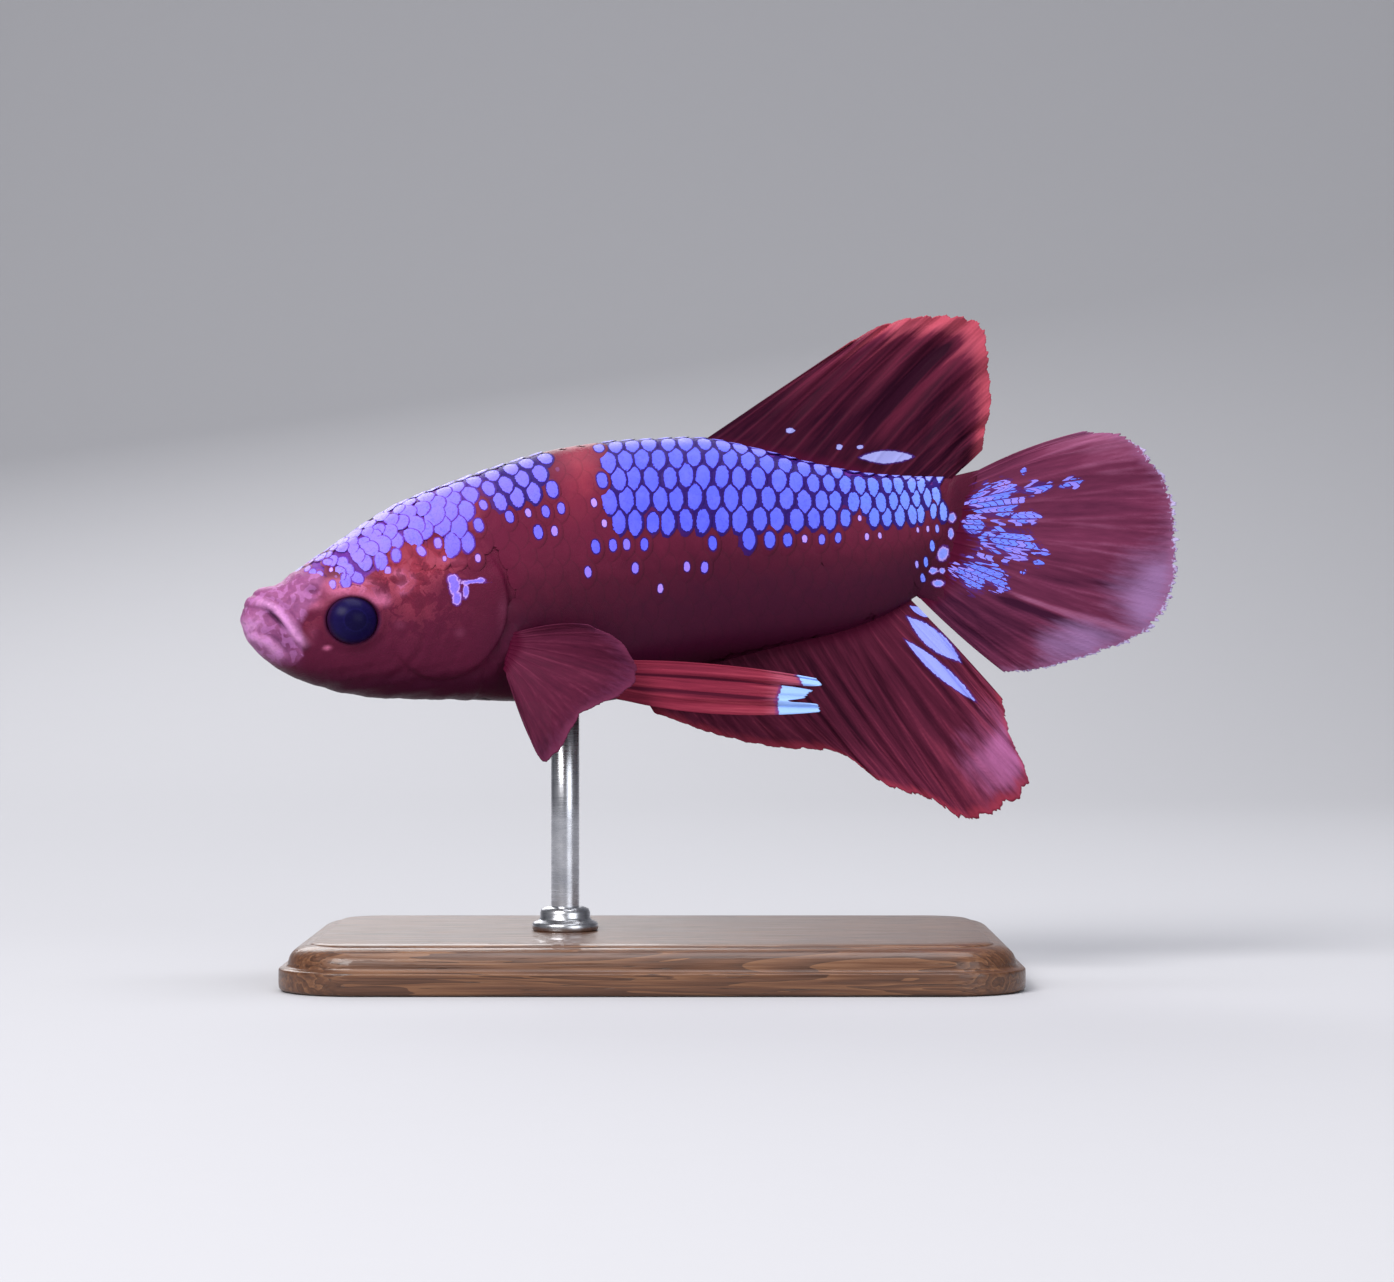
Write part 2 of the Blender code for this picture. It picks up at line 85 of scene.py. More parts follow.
# what a face has, as x and z of the straight head; ridges and grooves across a line or a ring are given
# as place off it, half width and height
face = {
    "mouthLine": ((-29.6, 23.62), (-28.70, 23.56), (-27.94, 23.28), (-27.22, 22.40), (-26.73, 21.66),
                  (-25.95, 20.66)),
    "slit": (0.50, 0.14, 0.40),  # place along the mouth line, half length, depth
    "lipGroove": 0.06,
    "upperLip": (0.34, 0.26, 0.15),
    "lipCrease": (0.80, 0.14, -0.12),
    "lowerLip": (-0.75, 0.40, 0.13),
    "snoutTop": (-27.9, 0.75, 0.2),
    "chinFold": ((-28.75, 22.4), (-28.35, 22.0), (-27.75, 21.72), (-27.16, 21.13), (-26.6, 20.35)),
    "chinGroove": (0.0, 0.13, -0.12),
    "chinRoll": (-0.36, 0.27, 0.10),
    "nostrils": ((-26.55, 24.20, 0.26, 0.16), (-25.55, 24.62, 0.34, -0.24)),  # x, z, radius, height
    "eye": (-23.25, 22.80),
    "eyeLateral": 3.12,
    "eyeRadii": (1.58, 1.00, 1.46),
    "eyeRim": (1.10, 0.13, 0.07),  # place and half width in shares of the eye
    "eyeFurrow": (1.42, 0.16, -0.03),
    "cheekArc": (-23.0, 22.6, 4.0),
    "cheekEdge": (-0.4, 0.4, 0.04),
    "cheekFurrow": (0.08, 0.22, -0.035),
    "gill": (-17.6, 23.5, 3.55, 4.35, 6.0),  # centre, half length, half height, lean
    "gillStep": 0.09,
    "gillGroove": 0.12,
    # a hollow behind the gill cover and the root of the breast fin: x, z, reach in x and z, height
    "finRoot": ((-13.2, 19.3, 0.9, 1.5, -0.25), (-13.7, 21.0, 0.55, 1.2, 0.25)),
    "throatFolds": (0.85, 0.02),  # from fold to fold, and height
    "lumps": ((1.3, 0.018), (0.55, 0.010)),  # length and height of the soft lumps
}

# blue zones as their lower edges, and the loose spots with their sizes
markings = {
    "nape": ((-26.5, 25.9), (-24.9, 25.2), (-24.1, 25.6), (-22.9, 24.9), (-21.3, 25.9), (-20.5, 26.8),
             (-20.0, 28.0), (-19.2, 28.0), (-18.3, 27.4), (-17.3, 26.9), (-15.9, 26.9), (-15.6, 30.5),
             (-14.3, 30.1), (-12.9, 29.8), (-11.6, 30.0), (-10.2, 30.3)),
    "saddle": ((-7.6, 26.7), (-5.8, 27.6), (-4.1, 28.2), (-0.7, 28.2), (1.9, 27.7), (5.0, 28.0), (8.9, 28.5),
               (13.4, 28.7), (14.8, 29.3), (15.9, 31.2)),
    "spots": ((-17.9, 28.0, 0.92), (-17.0, 27.8, 0.92), (-16.1, 27.9, 0.8), (-18.75, 28.7, 0.9),
              (-15.5, 30.4, 0.45), (-15.7, 29.1, 0.5), (-13.7, 29.4, 0.5), (-12.6, 29.7, 0.35),
              (-11.8, 27.9, 0.55), (-10.3, 29.7, 0.45), (-10.5, 28.1, 0.35), (-6.7, 27.0, 0.45),
              (-5.7, 27.0, 0.4), (-1.6, 26.7, 0.35), (-3.7, 24.9, 0.3), (0.5, 27.7, 0.5), (14.2, 27.5, 0.55),
              (13.8, 26.3, 0.5), (13.0, 26.0, 0.35), (13.6, 25.2, 0.45), (14.6, 28.9, 0.4)),
    # x, z, reach in x and z, strength
    "ember": ((-8.7, 33.4, 1.6, 3.0, 0.68), (-20.0, 26.2, 1.5, 1.5, 0.95), (-18.3, 26.8, 2.0, 0.9, 0.9),
              (-16.3, 30.0, 0.9, 1.6, 0.8), (-22.0, 25.3, 0.9, 0.6, 0.6), (-9.8, 30.2, 2.0, 2.6, 0.25),
              (-19.6, 23.6, 1.8, 1.2, 0.3)),
    "pink": ((-20.4, 24.75, 0.4, 0.4, 0.9), (-20.55, 25.75, 0.55, 0.3, 0.6), (-19.85, 25.35, 0.35, 0.5, 0.5),
             (-21.65, 24.05, 0.65, 0.45, 0.85), (-23.6, 24.85, 1.9, 0.7, 0.85),
             (-24.65, 21.07, 0.3, 0.18, 0.8), (-26.5, 24.0, 0.7, 0.5, 0.4), (-17.8, 26.5, 1.2, 0.3, 0.5),
             (-25.5, 23.85, 0.6, 0.5, 0.7), (-25.6, 21.9, 0.5, 1.0, 0.25), (-20.5, 22.5, 0.5, 0.4, 0.25),
             (-16.9, 22.0, 0.5, 0.5, 0.25), (-14.4, 23.2, 0.5, 1.6, 0.2), (-17.0, 30.2, 0.3, 0.3, 0.5)),
    "mottle": ((-20.4, 25.2, 1.7, 1.3, 1.0), (-18.3, 26.4, 1.8, 0.9, 0.8), (-22.8, 25.0, 1.5, 0.5, 0.8),
               (-26.6, 23.6, 1.6, 1.8, 0.45), (-19.4, 23.0, 2.6, 1.2, 0.22), (-17.0, 29.0, 1.5, 2.0, 0.35)),
    # painted shade: beside the mouth's slit, under its corner and in the rear nostril's pit
    "shade": ((-28.0, 23.12, 0.42, 0.26, 0.55), (-26.9, 21.3, 0.55, 0.42, 0.6),
              (-25.56, 24.67, 0.32, 0.24, 0.8)),
    "muzzleEdge": ((19.0, -27.6), (20.0, -26.4), (20.6, -25.95), (21.6, -26.2), (22.6, -26.25),
                   (23.4, -25.9), (24.1, -25.3), (26.0, -24.8)),
    # ovals on the tail's root and on the bare gill cover: x, z, half length, half height, lean
    "stalkMarks": ((15.46, 29.4, 0.28, 0.33, 0.0), (15.4, 28.4, 0.20, 0.36, 0.0),
                   (14.9, 27.1, 0.36, 0.5, 20.0), (14.25, 26.0, 0.3, 0.22, 0.0),
                   (14.85, 26.0, 0.2, 0.2, 0.0), (14.6, 25.2, 0.4, 0.24, 0.0)),
    "cheekMarks": ((-17.38, 25.35, 0.37, 0.32, 0.0), (-17.28, 24.9, 0.34, 0.6, 0.0),
                   (-17.14, 24.15, 0.29, 0.45, 0.0), (-16.25, 25.2, 0.95, 0.12, 0.0),
                   (-15.7, 25.3, 0.3, 0.18, 0.0), (-16.6, 24.6, 0.19, 0.46, 0.0)),
}

scales = {
    "pitch": ((-27.0, 0.55), (-22.0, 0.78), (-16.0, 1.0), (-11.0, 1.17), (5.4, 1.17), (8.0, 0.98),
              (10.0, 0.90), (12.0, 0.78), (15.0, 0.62)),
    "rowGap": ((-27.0, 0.60), (-22.0, 0.86), (-16.0, 1.14), (-10.0, 1.42), (0.0, 1.45), (5.0, 1.28),
               (8.0, 1.20), (15.0, 1.10)),
    "keyRow": ((-27.0, 2.1), (-22.0, 3.6), (-16.0, 5.2), (-10.0, 6.1), (-2.7, 6.2), (-0.3, 5.95), (2.1, 5.2),
               (5.4, 4.14), (7.7, 3.3), (10.5, 2.57), (13.6, 1.69), (15.0, 1.40)),  # arc from the back
    "rowsAbove": 8,
    "rowsBelow": 14,
    "halfHeight": 0.74,  # of a row gap
    "rear": 0.50,  # the free edge and the buried one, in pitches
    "front": -0.76,
    "sunk": 0.045,  # how deep a plate's own plane lies
    "lift": 0.02,
    "tilt": 0.065,
    "dome": 0.012,
    "thickness": 0.04,
    "plateAlong": (0.0, 0.42, 0.84, 1.0),
    "plateAcross": 9,
    "spin": (0.04, 0.22),  # how much a scale is turned at random, and how much more on the head
    "unequal": (0.02, 0.08),  # the same for its size
    "jitter": (0.05, 2.0),  # and for its place, how many times more on the head
    "edgeRagged": 0.40,
    "strayChance": 0.10,
}


def srgb(red, green, blue):
    # a screen colour from 0 to 255 as linear light, by the screen's own curve
    channels = np.array([red, green, blue]) / 255
    linear = np.where(channels < 0.04045, channels / 12.92, ((channels + 0.055) / 1.055) ** 2.4)
    return (*map(float, linear), 1.0)


def smoothStep(low, high, value):
    # 3t^2 - 2t^3, with t running from 0 at low to 1 at high
    t = np.clip((value - low) / (high - low), 0, 1)
    return t * t * (3 - 2 * t)


def hump(distance, width):
    # a bell, e to the minus square of distance over width
    return np.exp(-((distance / width) ** 2))


def ridge(distance, at, halfWidth, height):
    # a bell at one distance, a groove where its height is negative
    return height * hump(distance - at, halfWidth)


def window(value, rise, full, fade, gone):
    # a smooth step up from rise to full times one down from fade to gone
    return smoothStep(rise, full, value) * smoothStep(gone, fade, value)


def bell(x, z, atX, atZ, reachX, reachZ, moved=0.0, power=1):
    # a bell over x and z with its own reach each way; moved warps its radius, and power flattens its top
    return hump((np.hypot((x - atX) / reachX, (z - atZ) / reachZ) + moved) ** power, 1)


def waves(x, z, length, seed):
    # a soft random field about 1 high: the sum of nine sine waves with random headings
    total = 0
    for turn, phase, stretch in np.random.default_rng(seed).random((9, 3)):
        heading = 2 * math.pi * turn
        total = total + np.sin(
            (x * math.cos(heading) + z * math.sin(heading)) * 2 * math.pi / (length * (0.7 + 0.6 * stretch))
            + 2 * math.pi * phase
        )
    return total / 4.5


def throughRows(rows, u):
    # Catmull-Rom: a cubic between each two rows of the table, steered by the row on either side
    table = np.asarray(rows, float)
    table = np.vstack([2 * table[0] - table[1], table, 2 * table[-1] - table[-2]])
    place = np.asarray(u, float) * (len(table) - 3)
    first = np.clip(place.astype(int), 0, len(table) - 4)
    t = (place - first)[..., None]
    a, b, c, d = (table[first + step] for step in range(4))
    return b + 0.5 * t * (c - a + t * (2 * a - 5 * b + 4 * c - d + t * (3 * b - a - 3 * c + d)))


def fromTable(pairs, x):
    # straight lines between the pairs
    return np.interp(x, *np.array(pairs).T)


def bent(x, y, z):
    # moves a point of the straight fish to the bent one: the middle plane turns by the yaw as its
    # slope grows from yawStartX to yawFullX along 3t^2 - 2t^3
    span = body["yawStartX"] - body["yawFullX"]
    slope = math.tan(math.radians(body["headYaw"]))
    t = np.clip((body["yawStartX"] - x) / span, 0, 1)
    middle = -slope * (span * (t**3 - t**4 / 2) + np.maximum(body["yawFullX"] - x, 0))
    angle = np.arctan(slope * (3 * t**2 - 2 * t**3))
    return np.stack([x + body["shiftX"] - y * np.sin(angle), middle + y * np.cos(angle), z + 0 * x], -1)


def straightBody(u, turn):
    # each ring is two half ellipses that meet at its widest height, squared a little by sin^2(2 turn);
    # turn is 0 at the back and a quarter round on the right side
    row = throughRows(body["rings"], u)
    topX, topZ, lowX, lowZ, halfWidth, widest, fuller = (row[..., k] for k in range(7))
    sideX, sideZ = lowX + (topX - lowX) * widest, lowZ + (topZ - lowZ) * widest
    up = np.cos(turn)
    swell = 1 + body["squareness"] * np.sin(2 * turn) ** 2
    x = sideX + np.where(up > 0, topX - sideX, sideX - lowX) * up * swell
    z = sideZ + np.where(up > 0, topZ - sideZ, sideZ - lowZ) * up * swell
    return x, halfWidth * np.sin(turn) * (1 + fuller * up) * swell, z


def bodyFrame(u, turn):
    # the point, the two tangents by central differences, and the outward normal as their cross product
    step = 1e-4
    ahead, behind = bent(*straightBody(u + step, turn)), bent(*straightBody(u - step, turn))
    after, before = bent(*straightBody(u, turn + step)), bent(*straightBody(u, turn - step))
    along, around = (ahead - behind) / (2 * step), (after - before) / (2 * step)
    normal = np.cross(along, around)
    normal /= np.linalg.norm(normal, axis=-1, keepdims=True) + 1e-12
    return bent(*straightBody(u, turn)), along, around, normal


def curveDistance(points, x, z, reach=2.5):
    # distance to the nearest of many samples of the smooth curve, positive on the left of its run,
    # and the share of the run at which that sample lies
    run = np.linspace(0, 1, 150)
    curve = throughRows(points, run)
    heading = np.gradient(curve, axis=0)
    distance, place = np.full(x.shape, 9.0), np.zeros(x.shape)
    low, high = curve.min(0) - reach, curve.max(0) + reach
    near = (x > low[0]) & (x < high[0]) & (z > low[1]) & (z < high[1])
    off = np.stack([x[near], z[near]], -1)[:, None] - curve
    nearest = (off**2).sum(-1).argmin(1)
    off, heading = off[np.arange(len(nearest)), nearest], heading[nearest]
    sign = np.where(heading[:, 0] * off[:, 1] - heading[:, 1] * off[:, 0] > 0, 1, -1)
    distance[near], place[near] = sign * np.linalg.norm(off, axis=1), run[nearest]
    return distance, place


def leaning(x, z, centreX, centreZ, lean):
    # how far off the centre along and across an axis that leans by that many degrees
    cosine, sine = math.cos(math.radians(lean)), math.sin(math.radians(lean))
    offX, offZ = x - centreX, z - centreZ
    return offX * cosine - offZ * sine, offZ * cosine + offX * sine


def ovalRadius(x, z, centreX, centreZ, radiusX, radiusZ, lean=0.0):
    # 1 on the leaning ellipse, less inside it, and the bearing from its centre
    along, across = leaning(x, z, centreX, centreZ, lean)
    return np.hypot(along / radiusX, across / radiusZ), np.arctan2(across, along)


def eyeRadius(x, z):
    # 1 on the edge of the eye, less inside it
    radiusX, _, radiusZ = face["eyeRadii"]
    return ovalRadius(x, z, *face["eye"], radiusX, radiusZ)[0]


def faceRelief(x, z, turn):
    # how far the face stands off the plain body: bells across the lips' curves, rings round the eye,
    # steps at the cheek and the gill cover, and soft lumps
    sideways = smoothStep(0.2, 0.55, np.abs(np.sin(turn)))
    off, place = curveDistance(face["mouthLine"], x, z)
    inMouth = smoothStep(1.0, 0.93, place)
    slitAt, slitLength, slitDepth = face["slit"]
    groove = face["lipGroove"] + (slitDepth - face["lipGroove"]) * hump(place - slitAt, slitLength)
    relief = ridge(off, *face["upperLip"]) * inMouth * smoothStep(0.05, 0.35, place)
    relief += ridge(off, *face["lipCrease"]) * inMouth
    relief += ridge(off, *face["lowerLip"]) * smoothStep(0.62, 0.35, place)
    relief += ridge(x, *face["snoutTop"]) * smoothStep(0.45, 0.95, np.cos(turn))
    relief -= groove * hump(off, 0.11) * inMouth
    fold, foldPlace = curveDistance(face["chinFold"], x, z)
    relief += ridge(fold, *face["chinGroove"]) * hump(foldPlace - 0.62, 0.32) * sideways
    relief += ridge(fold, *face["chinRoll"]) * hump(foldPlace - 0.5, 0.36) * sideways
    for nostrilX, nostrilZ, radius, height in face["nostrils"]:
        away = np.hypot(x - nostrilX, z - nostrilZ)
        ring = -0.4 * min(height, 0) * hump(away - 1.5 * radius, 0.5 * radius)  # raised round a hollow
        relief += sideways * (height * hump(away, radius) + ring)
    rho = eyeRadius(x, z)
    socket = smoothStep(0.98, 0.80, rho)
    relief = relief * (1 - socket) - 0.9 * socket * sideways
    relief += sideways * (ridge(rho, *face["eyeRim"]) + ridge(rho, *face["eyeFurrow"]))
    arcX, arcZ, arcRadius = face["cheekArc"]
    arc = np.hypot(x - arcX, z - arcZ) - arcRadius
    bearing = np.arctan2(z - arcZ, x - arcX)
    onArc = window(bearing, -1.35, -0.9, 0.7, 1.15) * sideways
    relief += onArc * (ridge(arc, *face["cheekEdge"]) + ridge(arc, *face["cheekFurrow"]))
    gill, gillBearing = ovalRadius(x, z, *face["gill"])
    behind = window(gillBearing, -2.6, -1.9, 1.2, 1.75) * sideways
    relief += behind * face["gillStep"] * window(gill, 0.55, 0.98, 0.985, 1.06)
    pastEdge = hump(np.maximum(gill - 1.03, 0), 0.12) * smoothStep(0.985, 1.04, gill)
    relief -= behind * face["gillGroove"] * pastEdge
    for atX, atZ, reachX, reachZ, height in face["finRoot"]:
        relief += height * sideways * hump(x - atX, reachX) * hump(z - atZ, reachZ)
    throat = smoothStep(0.2, -0.5, np.cos(turn)) * window(x, -26.0, -24.0, -16.5, -14.5)
    pitch, height = face["throatFolds"]
    folds = np.sin(2 * math.pi * (z - 0.22 * (x + 20) - 18) / pitch)
    relief += height * throat * folds * smoothStep(20.6, 19.6, z)
    onHead = smoothStep(-14.0, -17.0, x) * (1 - socket)
    lumps = sum(size * waves(x, z, length, seed) for seed, (length, size) in enumerate(face["lumps"], 3))
    return relief + onHead * lumps


def blueZone(x, z):
    # how far inside the nearest blue zone, in millimetres
    zones = []
    for name in ("nape", "saddle"):
        edge = markings[name]
        zones.append(np.minimum(z - fromTable(edge, x), np.minimum(x - edge[0][0], edge[-1][0] - x)))
    return np.maximum(*zones)


def colourFields(x, z, turn):
    # soft weights for the colours that skin and scales share: sums of bells round the marked places,
    # their radius moved by a slow wave; shade's bells have flat tops
    wander = 0.25 * waves(x, z, 1.7, 11)
    fields = {}
    for name, moved, power in (("ember", 0.3, 1), ("pink", 0.5, 1), ("mottle", 0.0, 1), ("shade", 0.0, 2)):
        bells = (strength * bell(x, z, *place, moved * wander, power) for *place, strength in markings[name])
        fields[name] = np.clip(sum(bells), 0, 1)
    edge = fromTable(markings["muzzleEdge"], z)
    soft = 0.10 + 0.25 * smoothStep(21.2, 23.0, z)
    fields["muzzle"] = smoothStep(edge + soft, edge - soft, x + 0.25 * wander) * smoothStep(19.6, 20.9, z)
    fields["dusk"] = smoothStep(0.35, -0.55, np.cos(turn) + 0.15 * wander)
    fields["violet"] = smoothStep(-12.5, -17.0, x) * smoothStep(18.6, 20.4, z)
    fields["blue"] = blueZone(x, z + 0.3 * wander)
    return fields


def gridQuads(rows, columns, closed=False):
    # the quads of a grid of vertices, and each corner's own row and column
    i, j = np.meshgrid(np.arange(rows - 1), np.arange(columns if closed else columns - 1), indexing="ij")
    row, column = i[..., None] + np.array([0, 1, 1, 0]), j[..., None] + np.array([0, 0, 1, 1])
    return (row * columns + column % columns).reshape(-1, 4), np.stack([row, column], -1).reshape(-1, 4, 2)


def fanOf(pole, poleRow, line, columns):
    # triangles from a pole to one line of a grid that closes on itself, and their corners' rows and columns
    j = np.arange(columns)
    corners = np.stack([pole + 0 * j, line * columns + j, line * columns + (j + 1) % columns], -1)
    places = np.array([[poleRow + 0 * j, j + 0.5], [line + 0 * j, j], [line + 0 * j, j + 1]])
    return corners, places.transpose(2, 0, 1)


def closedTube(grid, poles):
    # a grid that closes on itself, with a fan of triangles from a pole at each of its open ends
    rows, columns = grid.shape[:2]
    quads, places = gridQuads(rows, columns, closed=True)
    first, firstPlaces = fanOf(rows * columns, -1, 0, columns)
    last, lastPlaces = fanOf(rows * columns + 1, rows, rows - 1, columns)
    fans = np.concatenate([first, last[:, ::-1]])
    fanPlaces = np.concatenate([firstPlaces, lastPlaces[:, ::-1]])
    scale = [rows + 1, columns]
    vertices = np.concatenate([grid.reshape(-1, 3), poles])
    return vertices, [(quads, (places + [1, 0]) / scale), (fans, (fanPlaces + [1, 0]) / scale)]


def gridNormals(points):
    # cross product of the differences along the grid's two ways
    normal = np.cross(np.gradient(points, axis=0), np.gradient(points, axis=1))
    return normal / (np.linalg.norm(normal, axis=-1, keepdims=True) + 1e-12)


def facesOutward(vertices, polygons):
    # a closed mesh whose signed volume is negative has its faces turned round
    volume = 0
    for corners, _ in polygons:
        for k in range(1, corners.shape[1] - 1):
            a, b, c = (vertices[corners[:, n]] for n in (0, k, k + 1))
            volume += np.einsum("ij,ij->i", a, np.cross(b, c)).sum()
    return [(c[:, ::-1], uv[:, ::-1]) for c, uv in polygons] if volume < 0 else polygons


def addPiece(name, vertices, polygons, material, replaced, slot, fields=None):
    # a mesh from arrays; polygons is a list of (corner indices, corner places on the map), each an array
    # of like polygons, and fields holds a number for every vertex
    polygons = facesOutward(vertices, polygons)
    corners = np.concatenate([c.ravel() for c, _ in polygons])
    counts = np.concatenate([np.full(len(c), c.shape[1]) for c, _ in polygons])
    places = np.concatenate([uv.reshape(-1, 2) for _, uv in polygons])
    mesh = bpy.data.meshes.new(name)
    mesh.vertices.add(len(vertices))
    mesh.vertices.foreach_set("co", (vertices * mm).astype(np.float32).ravel())
    mesh.loops.add(len(corners))
    mesh.loops.foreach_set("vertex_index", corners.astype(np.int32))
    mesh.polygons.add(len(counts))
    mesh.polygons.foreach_set("loop_start", np.concatenate([[0], np.cumsum(counts)[:-1]]).astype(np.int32))
    mesh.update(calc_edges=True)
    mesh.uv_layers.new(name="OFBake").data.foreach_set("uv", places.astype(np.float32).ravel())
    for field, values in (fields or {}).items():
        mesh.attributes.new(field, "FLOAT", "POINT").data.foreach_set("value", values.astype(np.float32))
    mesh.shade_smooth()
    mesh.materials.append(material)
    piece = linked(name, mesh)
    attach(piece, "root")
    if replaced:
        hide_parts(*replaced)
    print(f"{name}: {len(vertices)} vertices, {(counts - 2).sum()} triangles")
    return piece


def linked(name, data):
    # a new object in the scene, at the origin
    thing = bpy.data.objects.new(name, data)
    bpy.context.scene.collection.objects.link(thing)
    return thing


# shader nodes: a colour or a number on its way through the nodes is a Wire, and each sign between
# two of them adds one Math node

class Wire:
    def __init__(self, tree, socket):
        self.tree, self.socket = tree, socket

    def __add__(self, other):
        return calculate("ADD", self, other)

    def __sub__(self, other):
        return calculate("SUBTRACT", self, other)

    def __mul__(self, other):
        return calculate("MULTIPLY", self, other)

    def __truediv__(self, other):
        return calculate("DIVIDE", self, other)

    def __pow__(self, other):
        return calculate("POWER", self, other)

    def __abs__(self):
        return calculate("ABSOLUTE", self)


def feed(node, inputs):
    # links each input to a wire, or sets it to a plain number or colour
    for name, value in inputs.items():
        if isinstance(value, Wire):
            value.tree.links.new(value.socket, node.inputs[name])
        else:
            node.inputs[name].default_value = value


def addNode(tree, kind, inputs, output=0, **settings):
    # a new node with its settings and inputs
    node = tree.nodes.new("ShaderNode" + kind)
    for setting, value in settings.items():
        setattr(node, setting, value)
    feed(node, inputs)
    return Wire(tree, node.outputs[output])


def treeOf(values):
    # the node tree of the first wire among them
    return next(value.tree for value in values if isinstance(value, Wire))


def calculate(operation, *values, clamped=False):
    # one Math node on the values
    inputs = dict(enumerate(values))
    return addNode(treeOf(values), "Math", inputs, operation=operation, use_clamp=clamped)


def between(value, low, high, start=0.0, end=1.0):
    # start at low, end at high, and 3t^2 - 2t^3 from one to the other
    inputs = {"Value": value, "From Min": low, "From Max": high, "To Min": start, "To Max": end}
    return addNode(value.tree, "MapRange", inputs, "Result", interpolation_type="SMOOTHSTEP")


def layered(colour, *layers):
    # each layer's tint laid over the colour by its share, in order
    for share, tint in layers:
        tree = treeOf((share, colour, tint))
        colour = addNode(tree, "Mix", {0: share, 6: colour, 7: tint}, 2, data_type="RGBA")
    return colour


def fieldOf(tree, name):
    # a number that the mesh holds at each vertex
    return addNode(tree, "Attribute", {}, "Fac", attribute_name=name)


def objectPlace(tree, stretch=(1.0, 1.0, 1.0)):
    # Object coordinates, in millimetres, stretched along each axis
    inputs = {"Vector": addNode(tree, "TexCoord", {}, "Object"), "Scale": [s / mm for s in stretch]}
    return addNode(tree, "Mapping", inputs)


def vectorOf(*parts):
    # three numbers as one vector
    return addNode(treeOf(parts), "CombineXYZ", dict(enumerate(parts)))


def noiseOf(place, size, detail=2.0, roughness=0.5, distortion=0.0):
    # noise whose blobs are about size across, in the units of place
    inputs = {"Vector": place, "Scale": 1 / size, "Detail": detail, "Roughness": roughness,
              "Distortion": distortion}
    return addNode(place.tree, "TexNoise", inputs, "Fac")


def bricksOf(place, gap):
    # a random shade from 0 to 1 for each unit brick, and 1 in the gaps
    black, white = (0, 0, 0, 1), (1, 1, 1, 1)
    inputs = {"Vector": place, "Color1": black, "Color2": white, "Mortar": black, "Scale": 1.0,
              "Mortar Size": gap, "Mortar Smooth": 0.4, "Bias": 0.0, "Brick Width": 1.0, "Row Height": 1.0}
    shade = addNode(place.tree, "TexBrick", inputs, "Color")
    return shade, Wire(place.tree, shade.socket.node.outputs["Fac"])


def rampOf(value, stops):
    # colours between stops of (place, colour)
    ramp = addNode(value.tree, "ValToRGB", {0: value}, "Color")
    elements = ramp.socket.node.color_ramp.elements
    while len(elements) < len(stops):
        elements.new(1.0)
    for element, (place, colour) in zip(elements, stops):
        element.position, element.color = place, colour
    return ramp


def newMaterial(name):
    # an empty finish and its node tree
    material = bpy.data.materials.new(name)
    material.use_nodes = True
    return material, material.node_tree


def finished(material, colour, roughness, height=None, depth=0.0, specular=0.5, **others):
    # fills in the shader, others being more of its inputs; height is a bump, its depth in millimetres
    tree = material.node_tree
    inputs = {"Base Color": colour, "Roughness": roughness, "Specular IOR Level": specular, **others}
    if height is not None:
        bump = {"Strength": 1.0, "Distance": depth * mm, "Height": height}
        inputs["Normal"] = addNode(tree, "Bump", bump, "Normal")
    feed(tree.nodes["Principled BSDF"], inputs)
    return material


fleshTints = {
    "upper": srgb(93, 20, 48),
    "middle": srgb(70, 11, 37),
    "low": srgb(57, 8, 35),
    "violet": srgb(95, 24, 53),
    "ember": srgb(134, 43, 62),
    "blotch": srgb(155, 64, 84),
    "shade": srgb(98, 42, 83),
    "pink": srgb(184, 95, 133),
    "muzzle": srgb(140, 76, 121),
    # paler lip colour, also the painted highlight on the lips' ridges
    "paleLipAndHighlight": srgb(210, 146, 201),
    # colour of the painted shade in the mouth's slit, the chin's fold and round the eye
    "recessShadeTint": srgb(44, 12, 48),
    "underBlue": srgb(28, 13, 102),
    "underNape": srgb(96, 50, 168),
}

blueTints = {  # along the fish, by world x in millimetres
    -27.0: srgb(147, 118, 218),
    -19.0: srgb(124, 105, 230),
    -12.0: srgb(110, 98, 246),
    -5.0: srgb(82, 88, 248),
    6.0: srgb(88, 98, 248),
    11.0: srgb(96, 122, 252),
    16.0: srgb(128, 158, 255),
}


def fleshColour(tree, fine):
    # maroon darker below, then embers, pink, blotches and muzzle laid over it by their fields, and the
    # painted shade over all
    dusk = fieldOf(tree, "dusk") + (fine * 0.5 - 0.25)
    maroon = rampOf(dusk, [
        (0.0, fleshTints["upper"]), (0.55, fleshTints["middle"]), (1.0, fleshTints["low"]),
    ])
    ember, pink, mottle = (fieldOf(tree, name) for name in ("ember", "pink", "mottle"))
    patchy = fine * 0.9 - 0.45
    blotches = noiseOf(objectPlace(tree), 0.95, 3, 0.6, 0.5)
    return layered(
        maroon,
        (fieldOf(tree, "violet") * 0.6, fleshTints["violet"]),
        (between(ember + patchy * ember, 0.05, 0.95), fleshTints["ember"]),
        (between(pink + patchy * pink, 0.05, 0.95), fleshTints["pink"]),
        (between(blotches, 0.51, 0.55) * mottle * 0.75, fleshTints["blotch"]),
        (between(blotches, 0.46, 0.42) * mottle * 0.5, fleshTints["middle"]),
        (fieldOf(tree, "muzzle"), fleshTints["muzzle"]),
        # painted shade in the hollows of the muzzle and under the jaw's fold
        (fieldOf(tree, "shade"), fleshTints["shade"]),
    )


def blueColour(tree):
    # the blue of a scale by its place along the fish
    low, high = min(blueTints), max(blueTints)
    share = (addNode(tree, "SeparateXYZ", {0: objectPlace(tree)}) - low) / (high - low)
    return rampOf(share, [((x - low) / (high - low), colour) for x, colour in blueTints.items()])


